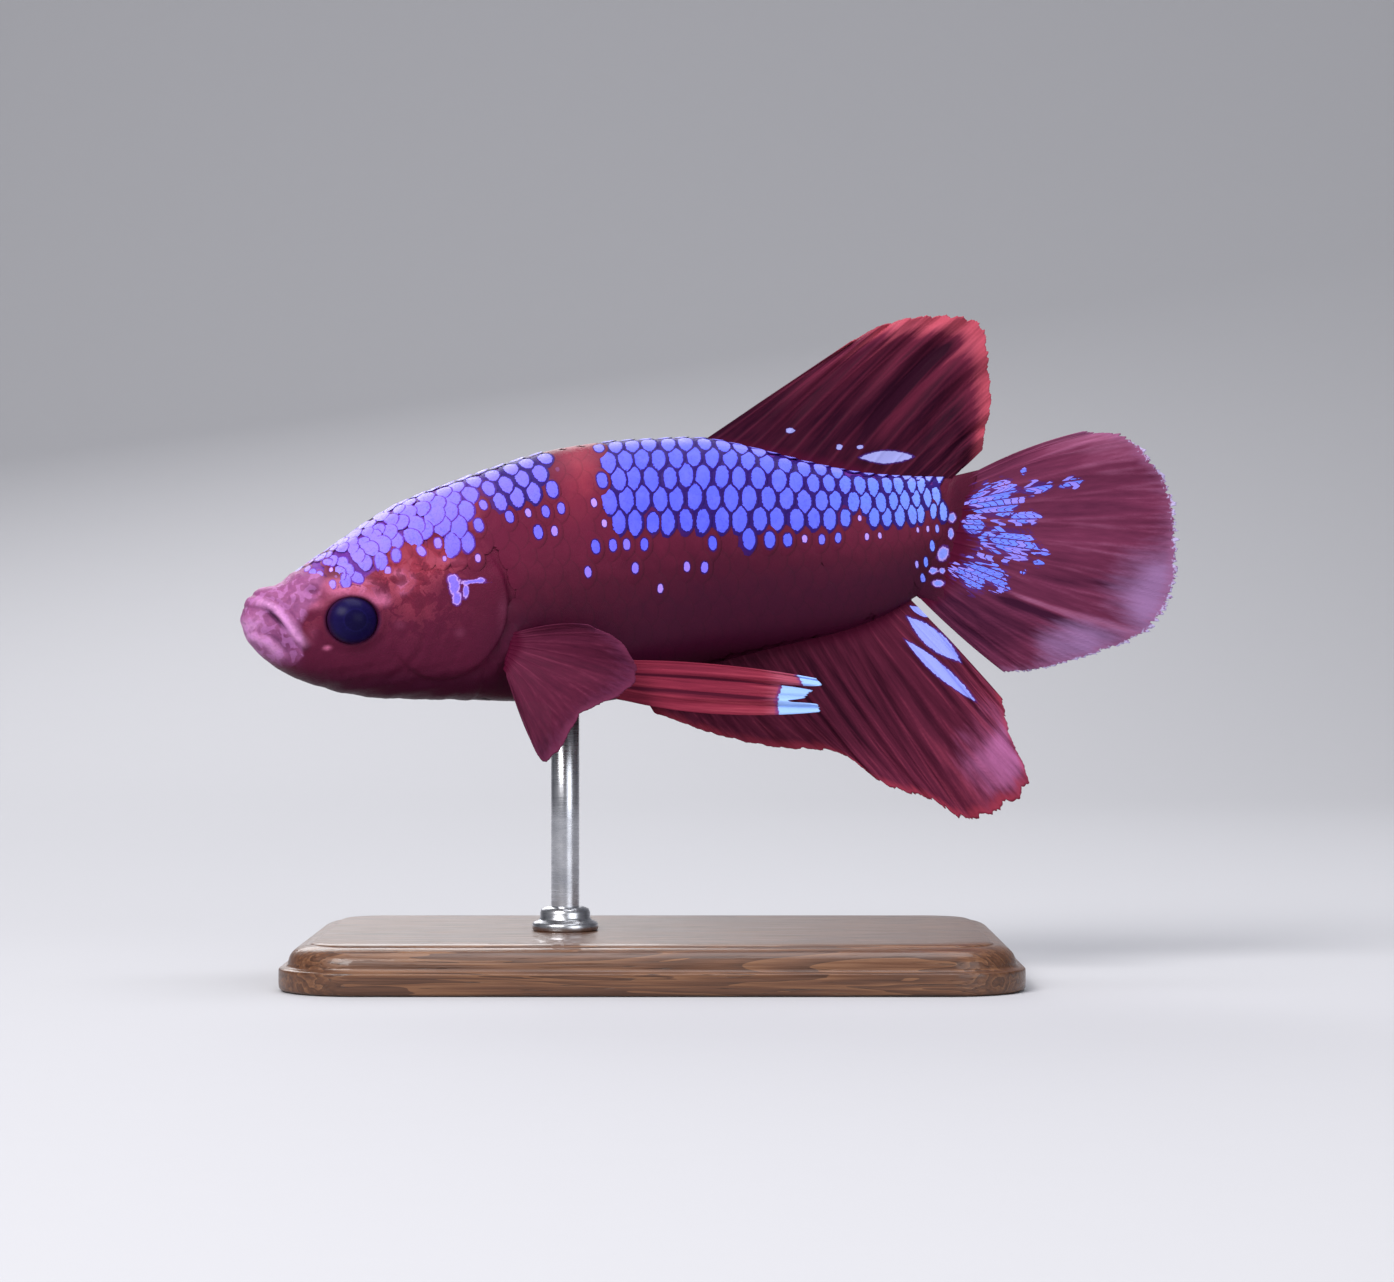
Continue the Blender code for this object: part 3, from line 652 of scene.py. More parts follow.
def skinMaterial():
    # flesh, then paler lips with painted highlights on their ridges, lip blotches, indigo under the scales,
    # painted shade in the mouth's slit, the chin's fold and round the eye, the blue marks with a pale rim
    # round them, and dark specks over all
    material, tree = newMaterial("fishSkin")
    place = objectPlace(tree)
    coarse, fine = noiseOf(place, 0.8, 4, 0.6), noiseOf(place, 0.16, 3, 0.6)
    lipBlotches, muzzle = noiseOf(place, 0.62, 1.5, 0.5, 0.6), fieldOf(tree, "muzzle")
    mark = fieldOf(tree, "mark") + (fine * 0.7 - 0.35)
    colour = layered(
        fleshColour(tree, coarse),
        # paler lips with painted highlights along the ridges of the lips and the jaw
        (fieldOf(tree, "paleLipAndHighlight"), fleshTints["paleLipAndHighlight"]),
        (between(lipBlotches, 0.52, 0.58) * muzzle * 0.32, srgb(194, 128, 196)),
        (between(lipBlotches, 0.46, 0.40) * muzzle * 0.32, srgb(116, 60, 110)),
        (between(fieldOf(tree, "blue") + coarse, 0.2, 0.9) * 0.6, fleshTints["underNape"]),
        # painted shade in the mouth's slit, along the chin's fold and in the socket round the eye
        (fieldOf(tree, "recessShade"), fleshTints["recessShadeTint"]),
        (between(mark, -0.3, 0.0, 0.0, 0.5), fleshTints["underNape"]),
        (between(mark, 0.0, 0.12),
         layered(blueColour(tree), (between(mark, 0.08, 0.4, 0.7, 0.1), srgb(214, 166, 226)))),
    )
    colour = layered(colour, (between(fine, 0.35, 0.75) * 0.35, layered(colour, (0.5, srgb(62, 20, 38)))))
    pores = fine * 0.6 + noiseOf(place, 0.07, 2, 0.5)
    return finished(material, colour, between(fine, 0.3, 0.7, 0.36, 0.52), pores, 0.035, specular=0.10)


def scaleMaterial():
    # blue where the free edge is further off than the rim and inside an almond 1 - |a|^p - |b|^q that
    # grows with the fill, both cut ragged by noise; indigo round it, flesh elsewhere
    material, tree = newMaterial("fishScales")
    place = objectPlace(tree)
    coarse, fine = noiseOf(place, 0.8, 4, 0.6), noiseOf(place, 0.13, 3, 0.6)
    lengthwise, across, fill, headward, toEdge, rimWidth = (
        fieldOf(tree, name) for name in ("plateAlong", "plateAcross", "fill", "headward", "rim", "rimWidth")
    )
    grown = fill**1.5
    halfLength = grown * headward * 0.4 + (grown * 0.335 + 0.10)
    halfHeight = grown * headward * 0.5 + (grown * 0.49 + 0.12)
    ragged = fine - 0.5
    almond = (abs(lengthwise - 0.03) / halfLength) ** 2.2 + (abs(across) / halfHeight) ** 2.4
    inside = ragged - almond + 1.0
    rim = toEdge + ragged * 0.22
    shown = between(fill, 0.1, 0.16)
    patch = between(inside, 0.0, 0.14) * shown * between(rim - rimWidth, -0.03, 0.03)
    halo = calculate("MAXIMUM", between(inside, -0.9, -0.1), between(fill, 0.74, 0.9)) * shown
    vein = between(abs(noiseOf(place, 0.3, 1, 0.4) - 0.5), 0.035, 0.0)
    blue = layered(
        blueColour(tree),
        (between(coarse, 0.4, 0.7) * 0.3, srgb(110, 112, 255)),
        # painted highlight: the blue of the top rows lighter, as if lit from above
        (fieldOf(tree, "crestHighlight") * 0.4, srgb(178, 172, 255)),
        (vein * 0.35, srgb(64, 58, 200)),
        (between(fill, 0.50, 0.25) * 0.6, srgb(206, 154, 206)),
    )
    colour = layered(
        fleshColour(tree, coarse),
        (between(rim, 0.16, 0.02) * 0.22 * fieldOf(tree, "edgeTone"), srgb(42, 10, 28)),
        (halo * 0.9, layered(fleshTints["underBlue"], (headward, fleshTints["underNape"]))),
        (patch, blue),
    )
    rings = calculate("SINE", toEdge * 60.0) * 0.10
    return finished(material, colour, between(fine, 0.3, 0.7, 0.38, 0.5), rings + fine, 0.016, specular=0.11)


def addSkin(material):
    # the body's own surface moved along its normal by the face's relief, less the coat's depth; past
    # its last ring the flesh thins over the tail's root along half a cosine, and closes in a seam
    columns = body["columnsAround"]
    share = np.linspace(0, 1, body["rowsAlong"] + 1)[1:]
    u = fromTable(body["rowCrowding"], share)[:, None] * np.ones(columns)
    turn = 2 * math.pi * np.arange(columns) / columns * np.ones_like(u)
    x, y, z = straightBody(u, turn)
    point, _, _, normal = bodyFrame(u, turn)
    depth = body["coatDepth"] * scaledShare(x, z, turn)
    point = point + normal * (faceRelief(x, z, turn) - depth)[..., None]
    q = np.linspace(0, 1, body["stalkRows"] + 1)[1:, None]
    stalkX = x[-1] + body["stalkReach"] * q
    stalkY = body["stalkWidth"] * y[-1] * (0.55 + 0.45 * np.cos(q * math.pi))
    stalkZ = z[-1] + body["stalkFlare"] * q * (z[-1] - body["stalkMiddle"])
    point = np.concatenate([point, bent(stalkX, stalkY, stalkZ)])
    x, z = np.concatenate([x, stalkX]), np.concatenate([z, stalkZ])
    turn = np.concatenate([turn, turn[:1] + 0 * q])

    # the grid, a fan at the lips and the seam at the tail
    rows = len(point)
    quads, places = gridQuads(rows, columns, closed=True)
    fan, fanPlaces = fanOf(rows * columns, -1, 0, columns)
    half, last = np.arange(columns // 2), (rows - 1) * columns
    seam = last + np.stack([half, half + 1, columns - half - 1, (columns - half) % columns], -1)
    seamRows = rows - 1 + np.array([0, 0, 1, 1]) + 0 * seam
    seamPlaces = np.stack([seamRows, np.stack([half, half + 1, half + 1, half], -1)], -1)
    triangles = [fan, seam[:1, [2, 1, 0]], seam[-1:, [3, 1, 0]]]
    trianglePlaces = [fanPlaces, seamPlaces[:1, [2, 1, 0]], seamPlaces[-1:, [3, 1, 0]]]
    scale = np.array([rows + 2, columns])
    polygons = [
        (quads, (places + [1, 0]) / scale),
        (seam[1:-1, ::-1], (seamPlaces[1:-1, ::-1] + [1, 0]) / scale),
        (np.concatenate(triangles), (np.concatenate(trianglePlaces) + [1, 0]) / scale),
    ]
    vertices = np.concatenate([point.reshape(-1, 3), bent(*straightBody(np.zeros(1), np.zeros(1)))])

    # the paler lips with painted highlights on their ridges and the jaw's ridge, painted shade under the
    # jaw's fold, in the mouth's slit, along the chin's fold and round the eye's rim, the marks and the bare
    # root of the tail
    fields = colourFields(x, z, turn)
    off, run = curveDistance(face["mouthLine"], x, z)
    fold, foldRun = curveDistance(face["chinFold"], x, z)
    slitAt, slitLength, _ = face["slit"]
    # paler lip colour and painted highlight: on the upper lip's ridge, the lower lip and the ridge before the
    # chin's fold
    upper = 0.85 * hump(off - 0.36, 0.26) * window(run, 0.10, 0.35, 0.8, 1.0)
    lower = hump(off + 1.2, 0.5) * window(run, -0.05, 0.12, 0.3, 0.6)
    jaw = hump(fold + 0.42, 0.3) * window(foldRun, 0.0, 0.12, 0.7, 1.0)
    fields["paleLipAndHighlight"] = np.clip(upper + 0.75 * np.maximum(lower, jaw), 0, 1) * smoothStep(-24.6, -25.6, x)
    # painted shade under the chin's fold
    underJaw = 0.85 * hump(fold - 0.38, 0.32) * hump(foldRun - 0.7, 0.26)
    fields["shade"] = np.maximum(fields["shade"], underJaw)
    # painted shade: in the mouth's slit, along the chin's fold and in the socket round the eye
    fields["recessShade"] = np.max([
        hump(off, 0.12) * (0.10 + 0.70 * hump(run - slitAt, slitLength)) * smoothStep(1.0, 0.9, run),
        0.3 * hump(fold, 0.10) * hump(foldRun - 0.62, 0.28),
        0.7 * smoothStep(1.10, 0.98, eyeRadius(x, z)) * (np.abs(np.sin(turn)) > 0.2),
    ], axis=0)
    marks = markings["cheekMarks"] + markings["stalkMarks"]
    fields["mark"] = np.max([1 - ovalRadius(x, z, *oval)[0] for oval in marks], axis=0)
    fields["blue"] -= 3 * smoothStep(14.4, 15.2, x) + 1.2 * (1 - scaledShare(x, z, turn))
    fields["dusk"] += (0.55 - fields["dusk"]) * smoothStep(14.0, 15.8, x)
    fields = {name: np.append(values, values.ravel()[0]) for name, values in fields.items()}
    flesh = ("head", "lower_jaw", "gill_cover_left", "gill_cover_right", "trunk", "tail_stalk")
    return addPiece("skin", vertices, polygons, material, flesh, "flesh", fields)


def scaleRow(u, turn, gap, pitches, shift, room):
    # one row's scales, a pitch apart: place along the body, turn, gap to the next row and heading, read
    # where the count of pitches passes each whole number plus the shift, up to the room at the row's end
    rowX, _, _ = straightBody(u, turn)
    heading = np.gradient(bent(*straightBody(u, turn)), axis=0)
    heading /= np.linalg.norm(heading, axis=1, keepdims=True)
    place = np.interp(rowX, *pitches)
    wanted = np.arange(math.ceil(place[0]), math.floor(place[-1]) + 1) + shift
    wanted = wanted[(wanted > place[0]) & (wanted < place[-1] + room)]
    at = np.interp(wanted, place, u)
    return np.column_stack([at, *(np.interp(at, u, values) for values in (turn, gap, *heading.T))])


def scaleLattice(side):
    # rows lie at even arcs down the flank from the key row, every other one shifted by half a pitch; the
    # right side also has one row along the back and one along the belly
    u, turn = np.linspace(0.2, 1.0, 700), np.linspace(0, math.pi, 400)
    x, y, z = straightBody(u[:, None], side * turn)
    steps = np.linalg.norm(np.diff(bent(x, y, z), axis=1), axis=-1)
    arc = np.hstack([np.zeros((len(u), 1)), np.cumsum(steps, axis=1)])
    middleX = x[:, len(turn) // 2]
    gap, key = fromTable(scales["rowGap"], middleX), fromTable(scales["keyRow"], middleX)
    fineX = np.linspace(-30, 18, 2000)
    pitches = fineX, np.cumsum(1 / fromTable(scales["pitch"], fineX)) * (fineX[1] - fineX[0])
    clear = 0.62 * gap  # how far a row's middle keeps from the back and the belly
    lines = np.arange(len(u))
    found = []
    for row in range(-scales["rowsAbove"], scales["rowsBelow"]):
        depth = key + row * gap
        below = (arc < depth[:, None]).sum(1).clip(1, len(turn) - 1)
        low, high = arc[lines, below - 1], arc[lines, below]
        rowTurn = turn[below - 1] + (turn[1] - turn[0]) * ((depth - low) / (high - low)).clip(0, 1)
        placed = scaleRow(u, side * rowTurn, gap, pitches, 0.5 * (row % 2), 0.3)
        under, over = (np.interp(placed[:, 0], u, room - clear) for room in (depth, arc[:, -1] - depth))
        found.append(placed[(under > 0) & (over > 0)])
    if side > 0:
        for midTurn in (0.0, math.pi):
            found.append(scaleRow(u, midTurn + 0 * u, 0.9 * gap, pitches, 0.25, -0.75))
    return np.concatenate(found)


def scaledShare(x, z, turn):
    # 1 where the coat of scales lies, 0 on the jaws, the cheek, the gill cover and the throat, soft between
    gill, _ = ovalRadius(x, z, *face["gill"])
    lowest = 25.85 - 1.1 * window(x, -25.2, -24.2, -23.2, -21.8)
    crown = smoothStep(lowest - 0.5, lowest + 0.5, z) * smoothStep(-26.6, -25.6, x)
    behind = smoothStep(0.99, 1.05, gill) * smoothStep(-17.6, -16.6, x + 0.25 * (23.5 - z))
    throat = smoothStep(-0.35, -0.55, np.cos(turn)) * smoothStep(-14.6, -15.6, x)
    return np.maximum(crown, behind) * (1 - throat) * smoothStep(1.30, 1.5, eyeRadius(x, z))


def keptScales(x, z, turn):
    # the scales whose middle lies in the coat, clear of the gill's edge
    gill, bearing = ovalRadius(x, z, *face["gill"])
    facing = (bearing > -2.2) & (bearing < 1.1) & (np.abs(np.sin(turn)) > 0.3)
    return (scaledShare(x, z, turn) > 0.5) & ~((np.abs(gill - 1.03) < 0.07) & facing)


def scaleFill(x, z, turn, rng):
    # how much of each scale is blue: by its depth inside the zone, ragged at the zone's edge, with stray
    # scales just outside it, fewer towards the snout, and the loose spots one by one
    count = len(x)
    depth = blueZone(x, z + rng.normal(0, 0.18, count))
    ragged = rng.normal(0, scales["edgeRagged"], count)
    fill = smoothStep(-0.55, 1.0, depth + ragged * smoothStep(1.9, 0.4, depth))
    fill = np.where(depth < -0.55, 0, fill * (0.9 + 0.13 * rng.random(count)))
    stray = (depth > -2.0) & (depth < -0.3) & (rng.random(count) < scales["strayChance"])
    fill = np.where(stray, 0.18 + 0.25 * rng.random(count), fill)
    fill = fill * (1 - 0.75 * smoothStep(-22.0, -25.5, x) * rng.random(count))
    for spotX, spotZ, spotSize in markings["spots"]:
        nearest = np.argmin(np.hypot(x - spotX, z - spotZ) + 9 * (np.abs(np.sin(turn)) < 0.05))
        fill[nearest] = spotSize
    return fill


def scalePlate():
    # one closed plate: a grid between a buried front edge and a free rear edge, both curved by powers of
    # the height, and a lower face that shares the grid's edge. a runs to the rear in pitches and b down in
    # row gaps; rim is how far a vertex is from the free edge, and cell its place on the plate's own map
    rows, columns, widest = len(scales["plateAlong"]), scales["plateAcross"], 1.35
    v = np.array(scales["plateAlong"])[:, None]
    b = (np.sin(np.linspace(-widest, widest, columns)) / math.sin(widest))[None]
    rear = scales["rear"] * (1 - np.abs(b) ** 2.6)
    front = scales["front"] + 0.30 * b**2
    steep = 0.8 * scales["rear"] * 2.6 * np.abs(b) ** 1.6 / scales["halfHeight"]
    a = front + (rear - front) * v
    rim = (rear - a) / np.sqrt(1 + steep**2)
    upper = scales["lift"] + scales["tilt"] * a + scales["dome"] * (1 - b**2)
    b = b * scales["halfHeight"] + 0 * v
    onEdge = np.ones(a.shape, bool)
    onEdge[1:-1, 1:-1] = False
    inner = ~onEdge.ravel()
    lower = (upper - scales["thickness"]).ravel()[inner]
    lift = np.concatenate([np.where(onEdge, upper - scales["thickness"] / 2, upper).ravel(), lower])
    a, b, rim = (np.concatenate([values.ravel(), values.ravel()[inner]]) for values in (a, b, rim))
    top, places = gridQuads(rows, columns)
    lowerIndex = np.arange(rows * columns)
    lowerIndex[inner] = rows * columns + np.arange(inner.sum())
    places = places / [rows - 1, columns - 1]
    cell = np.concatenate([places * [0.94, 0.82] + [0.03, 0.15], places[:, ::-1] * [0.94, 0.09] + 0.03])
    return a, b, rim, lift, np.concatenate([top, lowerIndex[top][:, ::-1]]), cell


def addScales(name, side, material):
    # a plate at each place of the lattice, turned and sized a little at random, laid on the body by its
    # two tangents and lifted along its normal towards the rear
    rng = np.random.default_rng(20 + side)
    lattice = scaleLattice(side)
    x, _, z = straightBody(*lattice[:, :2].T)
    kept = keptScales(x, z, lattice[:, 1])
    u, turn, gap, heading, x, z = *lattice[kept, :3].T, lattice[kept, 3:], x[kept], z[kept]
    pitch, count = fromTable(scales["pitch"], x), len(x)
    _, along, around, normal = bodyFrame(u, turn)
    down = np.cross(normal, heading) * side
    down *= np.sign((down * around).sum(-1, keepdims=True)) * np.where(turn >= 0, 1, -1)[:, None]
    headScale = smoothStep(-15.0, -20.0, x)
    turned, unequal, jitter = scales["spin"], scales["unequal"], scales["jitter"]
    spin = rng.normal(0, 1, count) * (turned[0] + turned[1] * headScale)
    cosine, sine = np.cos(spin)[:, None], np.sin(spin)[:, None]
    heading, down = heading * cosine + down * sine, down * cosine - heading * sine
    size = 1 + rng.normal(0, 1, count) * (unequal[0] + unequal[1] * headScale)
    slide = rng.normal(0, jitter[0], (2, count)) * (1 + jitter[1] * headScale)
    fill = scaleFill(x, z, turn, rng)
    a, b, rim, lift, quads, cell = scalePlate()

    # every plate's vertices at once: their offsets in millimetres, and as steps of u and turn
    offA = a * (pitch * size)[:, None] + slide[0][:, None]
    offB = b * (gap * size)[:, None] + slide[1][:, None]
    offset = offA[..., None] * heading[:, None] + offB[..., None] * down[:, None]
    guu, gut, gtt = ((p * q).sum(-1)[:, None] for p, q in ((along, along), (along, around), (around, around)))
    alongPart, aroundPart = ((offset * way[:, None]).sum(-1) for way in (along, around))
    determinant = guu * gtt - gut**2
    vertexU = u[:, None] + (gtt * alongPart - gut * aroundPart) / determinant
    vertexTurn = turn[:, None] + (guu * aroundPart - gut * alongPart) / determinant
    point, _, _, vertexNormal = bodyFrame(vertexU, vertexTurn)
    flatX, _, flatZ = straightBody(vertexU, vertexTurn)

    # plates are thinner where they are small, on the shoulder, where they are not blue and on the head
    thin = np.clip(pitch / 1.17, 0.45, 1) * (0.22 + 0.78 * smoothStep(0.1, 0.6, fill)) * (1 - 0.4 * headScale)
    thin *= 1 - 0.5 * smoothStep(-14.6, -16.0, x) * smoothStep(27.5, 25.5, z)
    base = -scales["sunk"] - 0.02 * (1 - thin) + 0.04 * (1 - scaledShare(x, z, turn))
    height = faceRelief(flatX, flatZ, vertexTurn) + base[:, None] + lift * thin[:, None]
    point = point + vertexNormal * height[..., None]

    # each plate's own cell on the unwrap of the body, u along and turn up
    cellU = (0.96 * pitch / np.linalg.norm(along, axis=1))[:, None, None]
    cellTurn = (0.96 * gap / np.linalg.norm(around, axis=1) / math.pi)[:, None, None]
    mapU = (u[:, None, None] + (cell[..., 0] - 0.5) * cellU - 0.2) / 0.82
    mapTurn = np.abs(turn[:, None, None]) / math.pi + (cell[..., 1] - 0.5) * cellTurn
    onMiddle = (np.abs(np.sin(turn)) < 1e-6)[:, None, None]
    mapTurn = np.where(onMiddle, mapTurn * 0.96 + 0.02, mapTurn)
    places = np.stack([mapU.clip(0, 1), mapTurn.clip(0, 1)], -1).reshape(-1, 4, 2)
    corners = (quads + point.shape[1] * np.arange(count)[:, None, None]).reshape(-1, 4)

    headward = smoothStep(-13.0, -19.5, x)
    rimWidth = (0.15 - 0.05 * smoothStep(4.0, 13.0, x)) * (1 - 0.5 * headward)
    rimWidth *= 0.85 + 0.35 * rng.random(count)
    edgeTone = (smoothStep(-15.4, -14.4, x) + 0.7 * smoothStep(25.0, 26.5, z)).clip(0, 1)
    fields = colourFields(flatX, flatZ, vertexTurn)
    # the top rows, where the back faces up, get a painted highlight
    fields.update({"plateAlong": a, "plateAcross": b, "rim": rim * (pitch * size)[:, None],
                   "crestHighlight": smoothStep(0.86, 0.97, np.cos(vertexTurn))})
    ofEach = {"fill": fill, "headward": headward, "rimWidth": rimWidth, "edgeTone": edgeTone}
    fields.update({key: values[:, None] for key, values in ofEach.items()})
    fields = {key: np.broadcast_to(values, offA.shape).ravel() for key, values in fields.items()}
    piece = addPiece(name, point.reshape(-1, 3), [(corners, places)], material, (), "flesh", fields)
    piece.data.set_sharp_from_angle(angle=math.radians(60))
    return piece


# fins: rays from front to back or from top to bottom, as root x and z, tip x and z, and bow; folds as
# waves across, depth and phase; scallop and ragged as shares of a ray's length; membrane and ray as
# thicknesses; marks as lenses of x, z, half length, half height and lean; edgeShare is the edge tint's
# strength, and streaks and hairs those of the coarse and the fine streaks

dorsalFin = {
    "rays": (
        (-1.0, 34.0, 8.95, 40.7, 0.0), (1.3, 33.5, 11.0, 41.8, 0.01), (3.6, 32.9, 13.4, 42.35, 0.02),
        (5.9, 32.3, 15.7, 42.4, 0.03), (8.2, 31.8, 17.5, 41.8, 0.03), (10.4, 31.5, 17.9, 39.3, 0.02),
        (12.2, 31.4, 18.05, 36.8, 0.01), (13.8, 31.3, 17.6, 34.9, 0.0), (14.9, 31.4, 17.5, 33.8, 0.0),
    ),
    "curl": 0.5,  # how far the tips stand out to the right
    "rayCount": 15, "columns": 281, "rows": 64,
    "folds": ((6.5, 0.20, 0.3), (11.0, 0.10, 1.9), (2.0, 0.25, 0.8)),
    "scallop": 0.018, "ragged": 0.006, "membrane": 0.11, "ray": 0.09,
    "marks": ((11.3, 33.3, 1.8, 0.42, -1.0), (5.1, 35.0, 0.36, 0.18, 0.0), (8.25, 33.95, 0.26, 0.2, 0.0),
              (9.6, 33.95, 0.36, 0.13, -12.0)),
    "tints": {"dark": srgb(38, 6, 25), "middle": srgb(89, 28, 49), "light": srgb(170, 74, 92),
              "mauve": srgb(112, 60, 103), "edge": srgb(159, 64, 79), "blue": srgb(140, 142, 200)},
    "edgeWidth": 1.5, "edgeShare": 0.6, "streaks": 0.30, "hairs": 0.3,
}
analFin = {
    "rays": (
        (-4.6, 18.9, -3.6, 16.9, -0.03), (-2.4, 19.7, 0.4, 15.5, -0.04), (-0.2, 20.6, 4.4, 14.65, -0.04),
        (2.0, 21.3, 8.3, 14.3, -0.04), (4.2, 21.8, 11.2, 12.3, -0.03), (6.4, 22.3, 14.2, 11.3, -0.02),
        (8.6, 22.9, 16.8, 10.05, -0.01), (10.2, 23.5, 20.3, 12.1, 0.0), (11.5, 24.1, 19.2, 15.4, 0.02),
        (12.4, 24.6, 18.7, 17.8, 0.01),
    ),
    "curl": -0.4,
    "rayCount": 24, "columns": 361, "rows": 60,
    "folds": ((10.0, 0.12, 0.0), (17.0, 0.07, 1.1), (3.0, 0.18, 2.0)),
    "scallop": 0.022, "ragged": 0.008, "membrane": 0.11, "ray": 0.09,
    "marks": ((13.4, 23.4, 0.75, 0.22, 30.0), (14.35, 21.6, 2.3, 0.58, 40.0), (14.75, 19.6, 3.0, 0.42, 41.0),
              (15.6, 22.6, 0.7, 0.08, 30.0)),
    "tints": {"dark": srgb(42, 8, 25), "middle": srgb(83, 28, 49), "light": srgb(136, 54, 77),
              "mauve": srgb(163, 94, 141), "edge": srgb(151, 52, 70), "blue": srgb(142, 152, 244)},
    "edgeWidth": 1.0, "edgeShare": 0.6, "streaks": 0.6,
}
tailFin = {
    "rays": (
        (15.2, 31.35, 24.0, 35.0, 0.04), (15.0, 30.7, 27.0, 34.5, 0.03), (14.8, 29.9, 29.5, 31.5, 0.02),
        (14.6, 29.0, 30.0, 28.3, 0.0), (14.4, 28.1, 29.8, 24.8, 0.0), (14.1, 27.2, 28.2, 22.2, -0.02),
        (13.8, 26.3, 24.8, 20.7, -0.03), (13.5, 25.4, 21.2, 19.7, -0.03), (13.2, 24.5, 18.9, 19.5, -0.02),
    ),
    "curl": 1.0,
    "rayCount": 13, "columns": 331, "rows": 80,
    "folds": ((3.5, 0.16, 0.6), (8.0, 0.08, 0.0), (13.0, 0.03, 1.4)),
    "scallop": 0.010, "ragged": 0.013, "membrane": 0.12, "ray": 0.08,
    "marks": (
        (18.2, 30.4, 2.0, 1.5, -6), (19.0, 31.1, 1.3, 0.6, -10), (20.95, 31.3, 1.3, 0.55, -12),
        (23.1, 31.6, 1.0, 0.42, -14), (19.1, 27.8, 2.3, 1.35, 13), (20.2, 29.4, 1.2, 0.5, -4),
        (17.2, 25.9, 2.0, 1.3, 6), (18.4, 25.2, 1.1, 0.6, 30), (16.9, 28.9, 0.9, 0.9, 0),
        (21.4, 27.2, 0.5, 0.24, 14), (21.1, 26.5, 0.45, 0.3, 15), (20.1, 32.4, 0.3, 0.3, 0),
        (20.1, 25.9, 0.25, 0.25, 0),
    ),
    "tints": {"dark": srgb(51, 16, 39), "middle": srgb(100, 42, 69), "light": srgb(142, 82, 114),
              "mauve": srgb(137, 100, 143), "edge": srgb(136, 82, 118), "blue": srgb(104, 126, 250),
              "fringe": srgb(186, 180, 222)},
    "edgeWidth": 0.8, "edgeShare": 0.5, "streaks": 0.55, "hairs": 0.4, "rootReach": 0.27,
}
pelvicFin = {
    "rays": ((-9.5, 20.2, 6.7, 19.1, 0.03), (-9.5, 19.7, 7.1, 18.5, 0.01), (-9.5, 19.2, 6.8, 17.8, -0.02),
             (-9.5, 18.7, 6.9, 17.0, -0.05)),
    "sweep": (2.0, 4.3, 3.9, 3.2),  # distance from the middle plane, from root to tip
    "rayCount": 6, "columns": 61, "rows": 130,
    "folds": ((2.6, 0.10, 0.4), (5.0, 0.05, 1.0)),
    "scallop": 0.0, "ragged": 0.004, "membrane": 0.16, "ray": 0.08,
    "slots": ((0.35, 0.055, 0.17), (0.72, 0.05, 0.09)),  # place across, half width and depth
    "shortLobe": 0.05,  # how much the lobe between the slots is shorter
    "tints": {"dark": srgb(70, 18, 37), "middle": srgb(121, 38, 58), "light": srgb(159, 66, 81),
              "mauve": srgb(180, 96, 122), "edge": srgb(138, 50, 67), "blue": srgb(150, 185, 246)},
    "edgeWidth": 0.1,
}
pectoralFin = {
    "rays": (
        (-13.6, 22.0, -9.0, 22.5, 0.06), (-13.7, 21.6, -6.4, 21.4, 0.04), (-13.8, 21.2, -5.2, 19.2, 0.02),
        (-13.9, 20.8, -7.4, 17.5, 0.0), (-14.0, 20.4, -9.9, 15.6, -0.02), (-14.0, 20.0, -12.3, 14.0, -0.04),
        (-14.1, 19.7, -13.6, 16.5, -0.06),
    ),
    "sweep": (3.9, 5.3, 6.2, 6.7),
    "turnedUp": 50.0,  # degrees that the right fan is turned up at its root
    "rayCount": 11, "columns": 151, "rows": 56,
    "folds": ((3.2, 0.14, 0.2), (5.5, 0.08, 1.3)),
    "scallop": 0.02, "ragged": 0.006, "membrane": 0.07, "ray": 0.07,
    "slots": ((0.60, 0.10, 0.13),),
    "tints": {"dark": srgb(57, 16, 37), "middle": srgb(83, 28, 51), "light": srgb(119, 50, 76),
              "mauve": srgb(106, 56, 94), "edge": srgb(102, 42, 69), "blue": srgb(150, 150, 205)},
    "edgeWidth": 0.8, "alpha": 0.94,
}


def liftedRays(rays, degrees):
    # the same fan with each ray turned up about its own root
    rootX, rootZ, tipX, tipZ, bow = np.array(rays).T
    cosine, sine = math.cos(math.radians(degrees)), math.sin(math.radians(degrees))
    reachX, reachZ = tipX - rootX, tipZ - rootZ
    tipX, tipZ = rootX + reachX * cosine - reachZ * sine, rootZ + reachZ * cosine + reachX * sine
    return np.stack([rootX, rootZ, tipX, tipZ, bow], -1)


def rayRidge(across, along, count):
    # 1 on a ray, 0 between; each ray forks once past its middle and again near its tip
    phase = np.abs((across * count) % 1 - 0.5)
    first = np.abs(phase - 0.24 * smoothStep(0.25, 1.0, along))
    second = np.abs(first - 0.10 * smoothStep(0.65, 1.0, along))
    return hump(second, 0.11 - 0.04 * along)


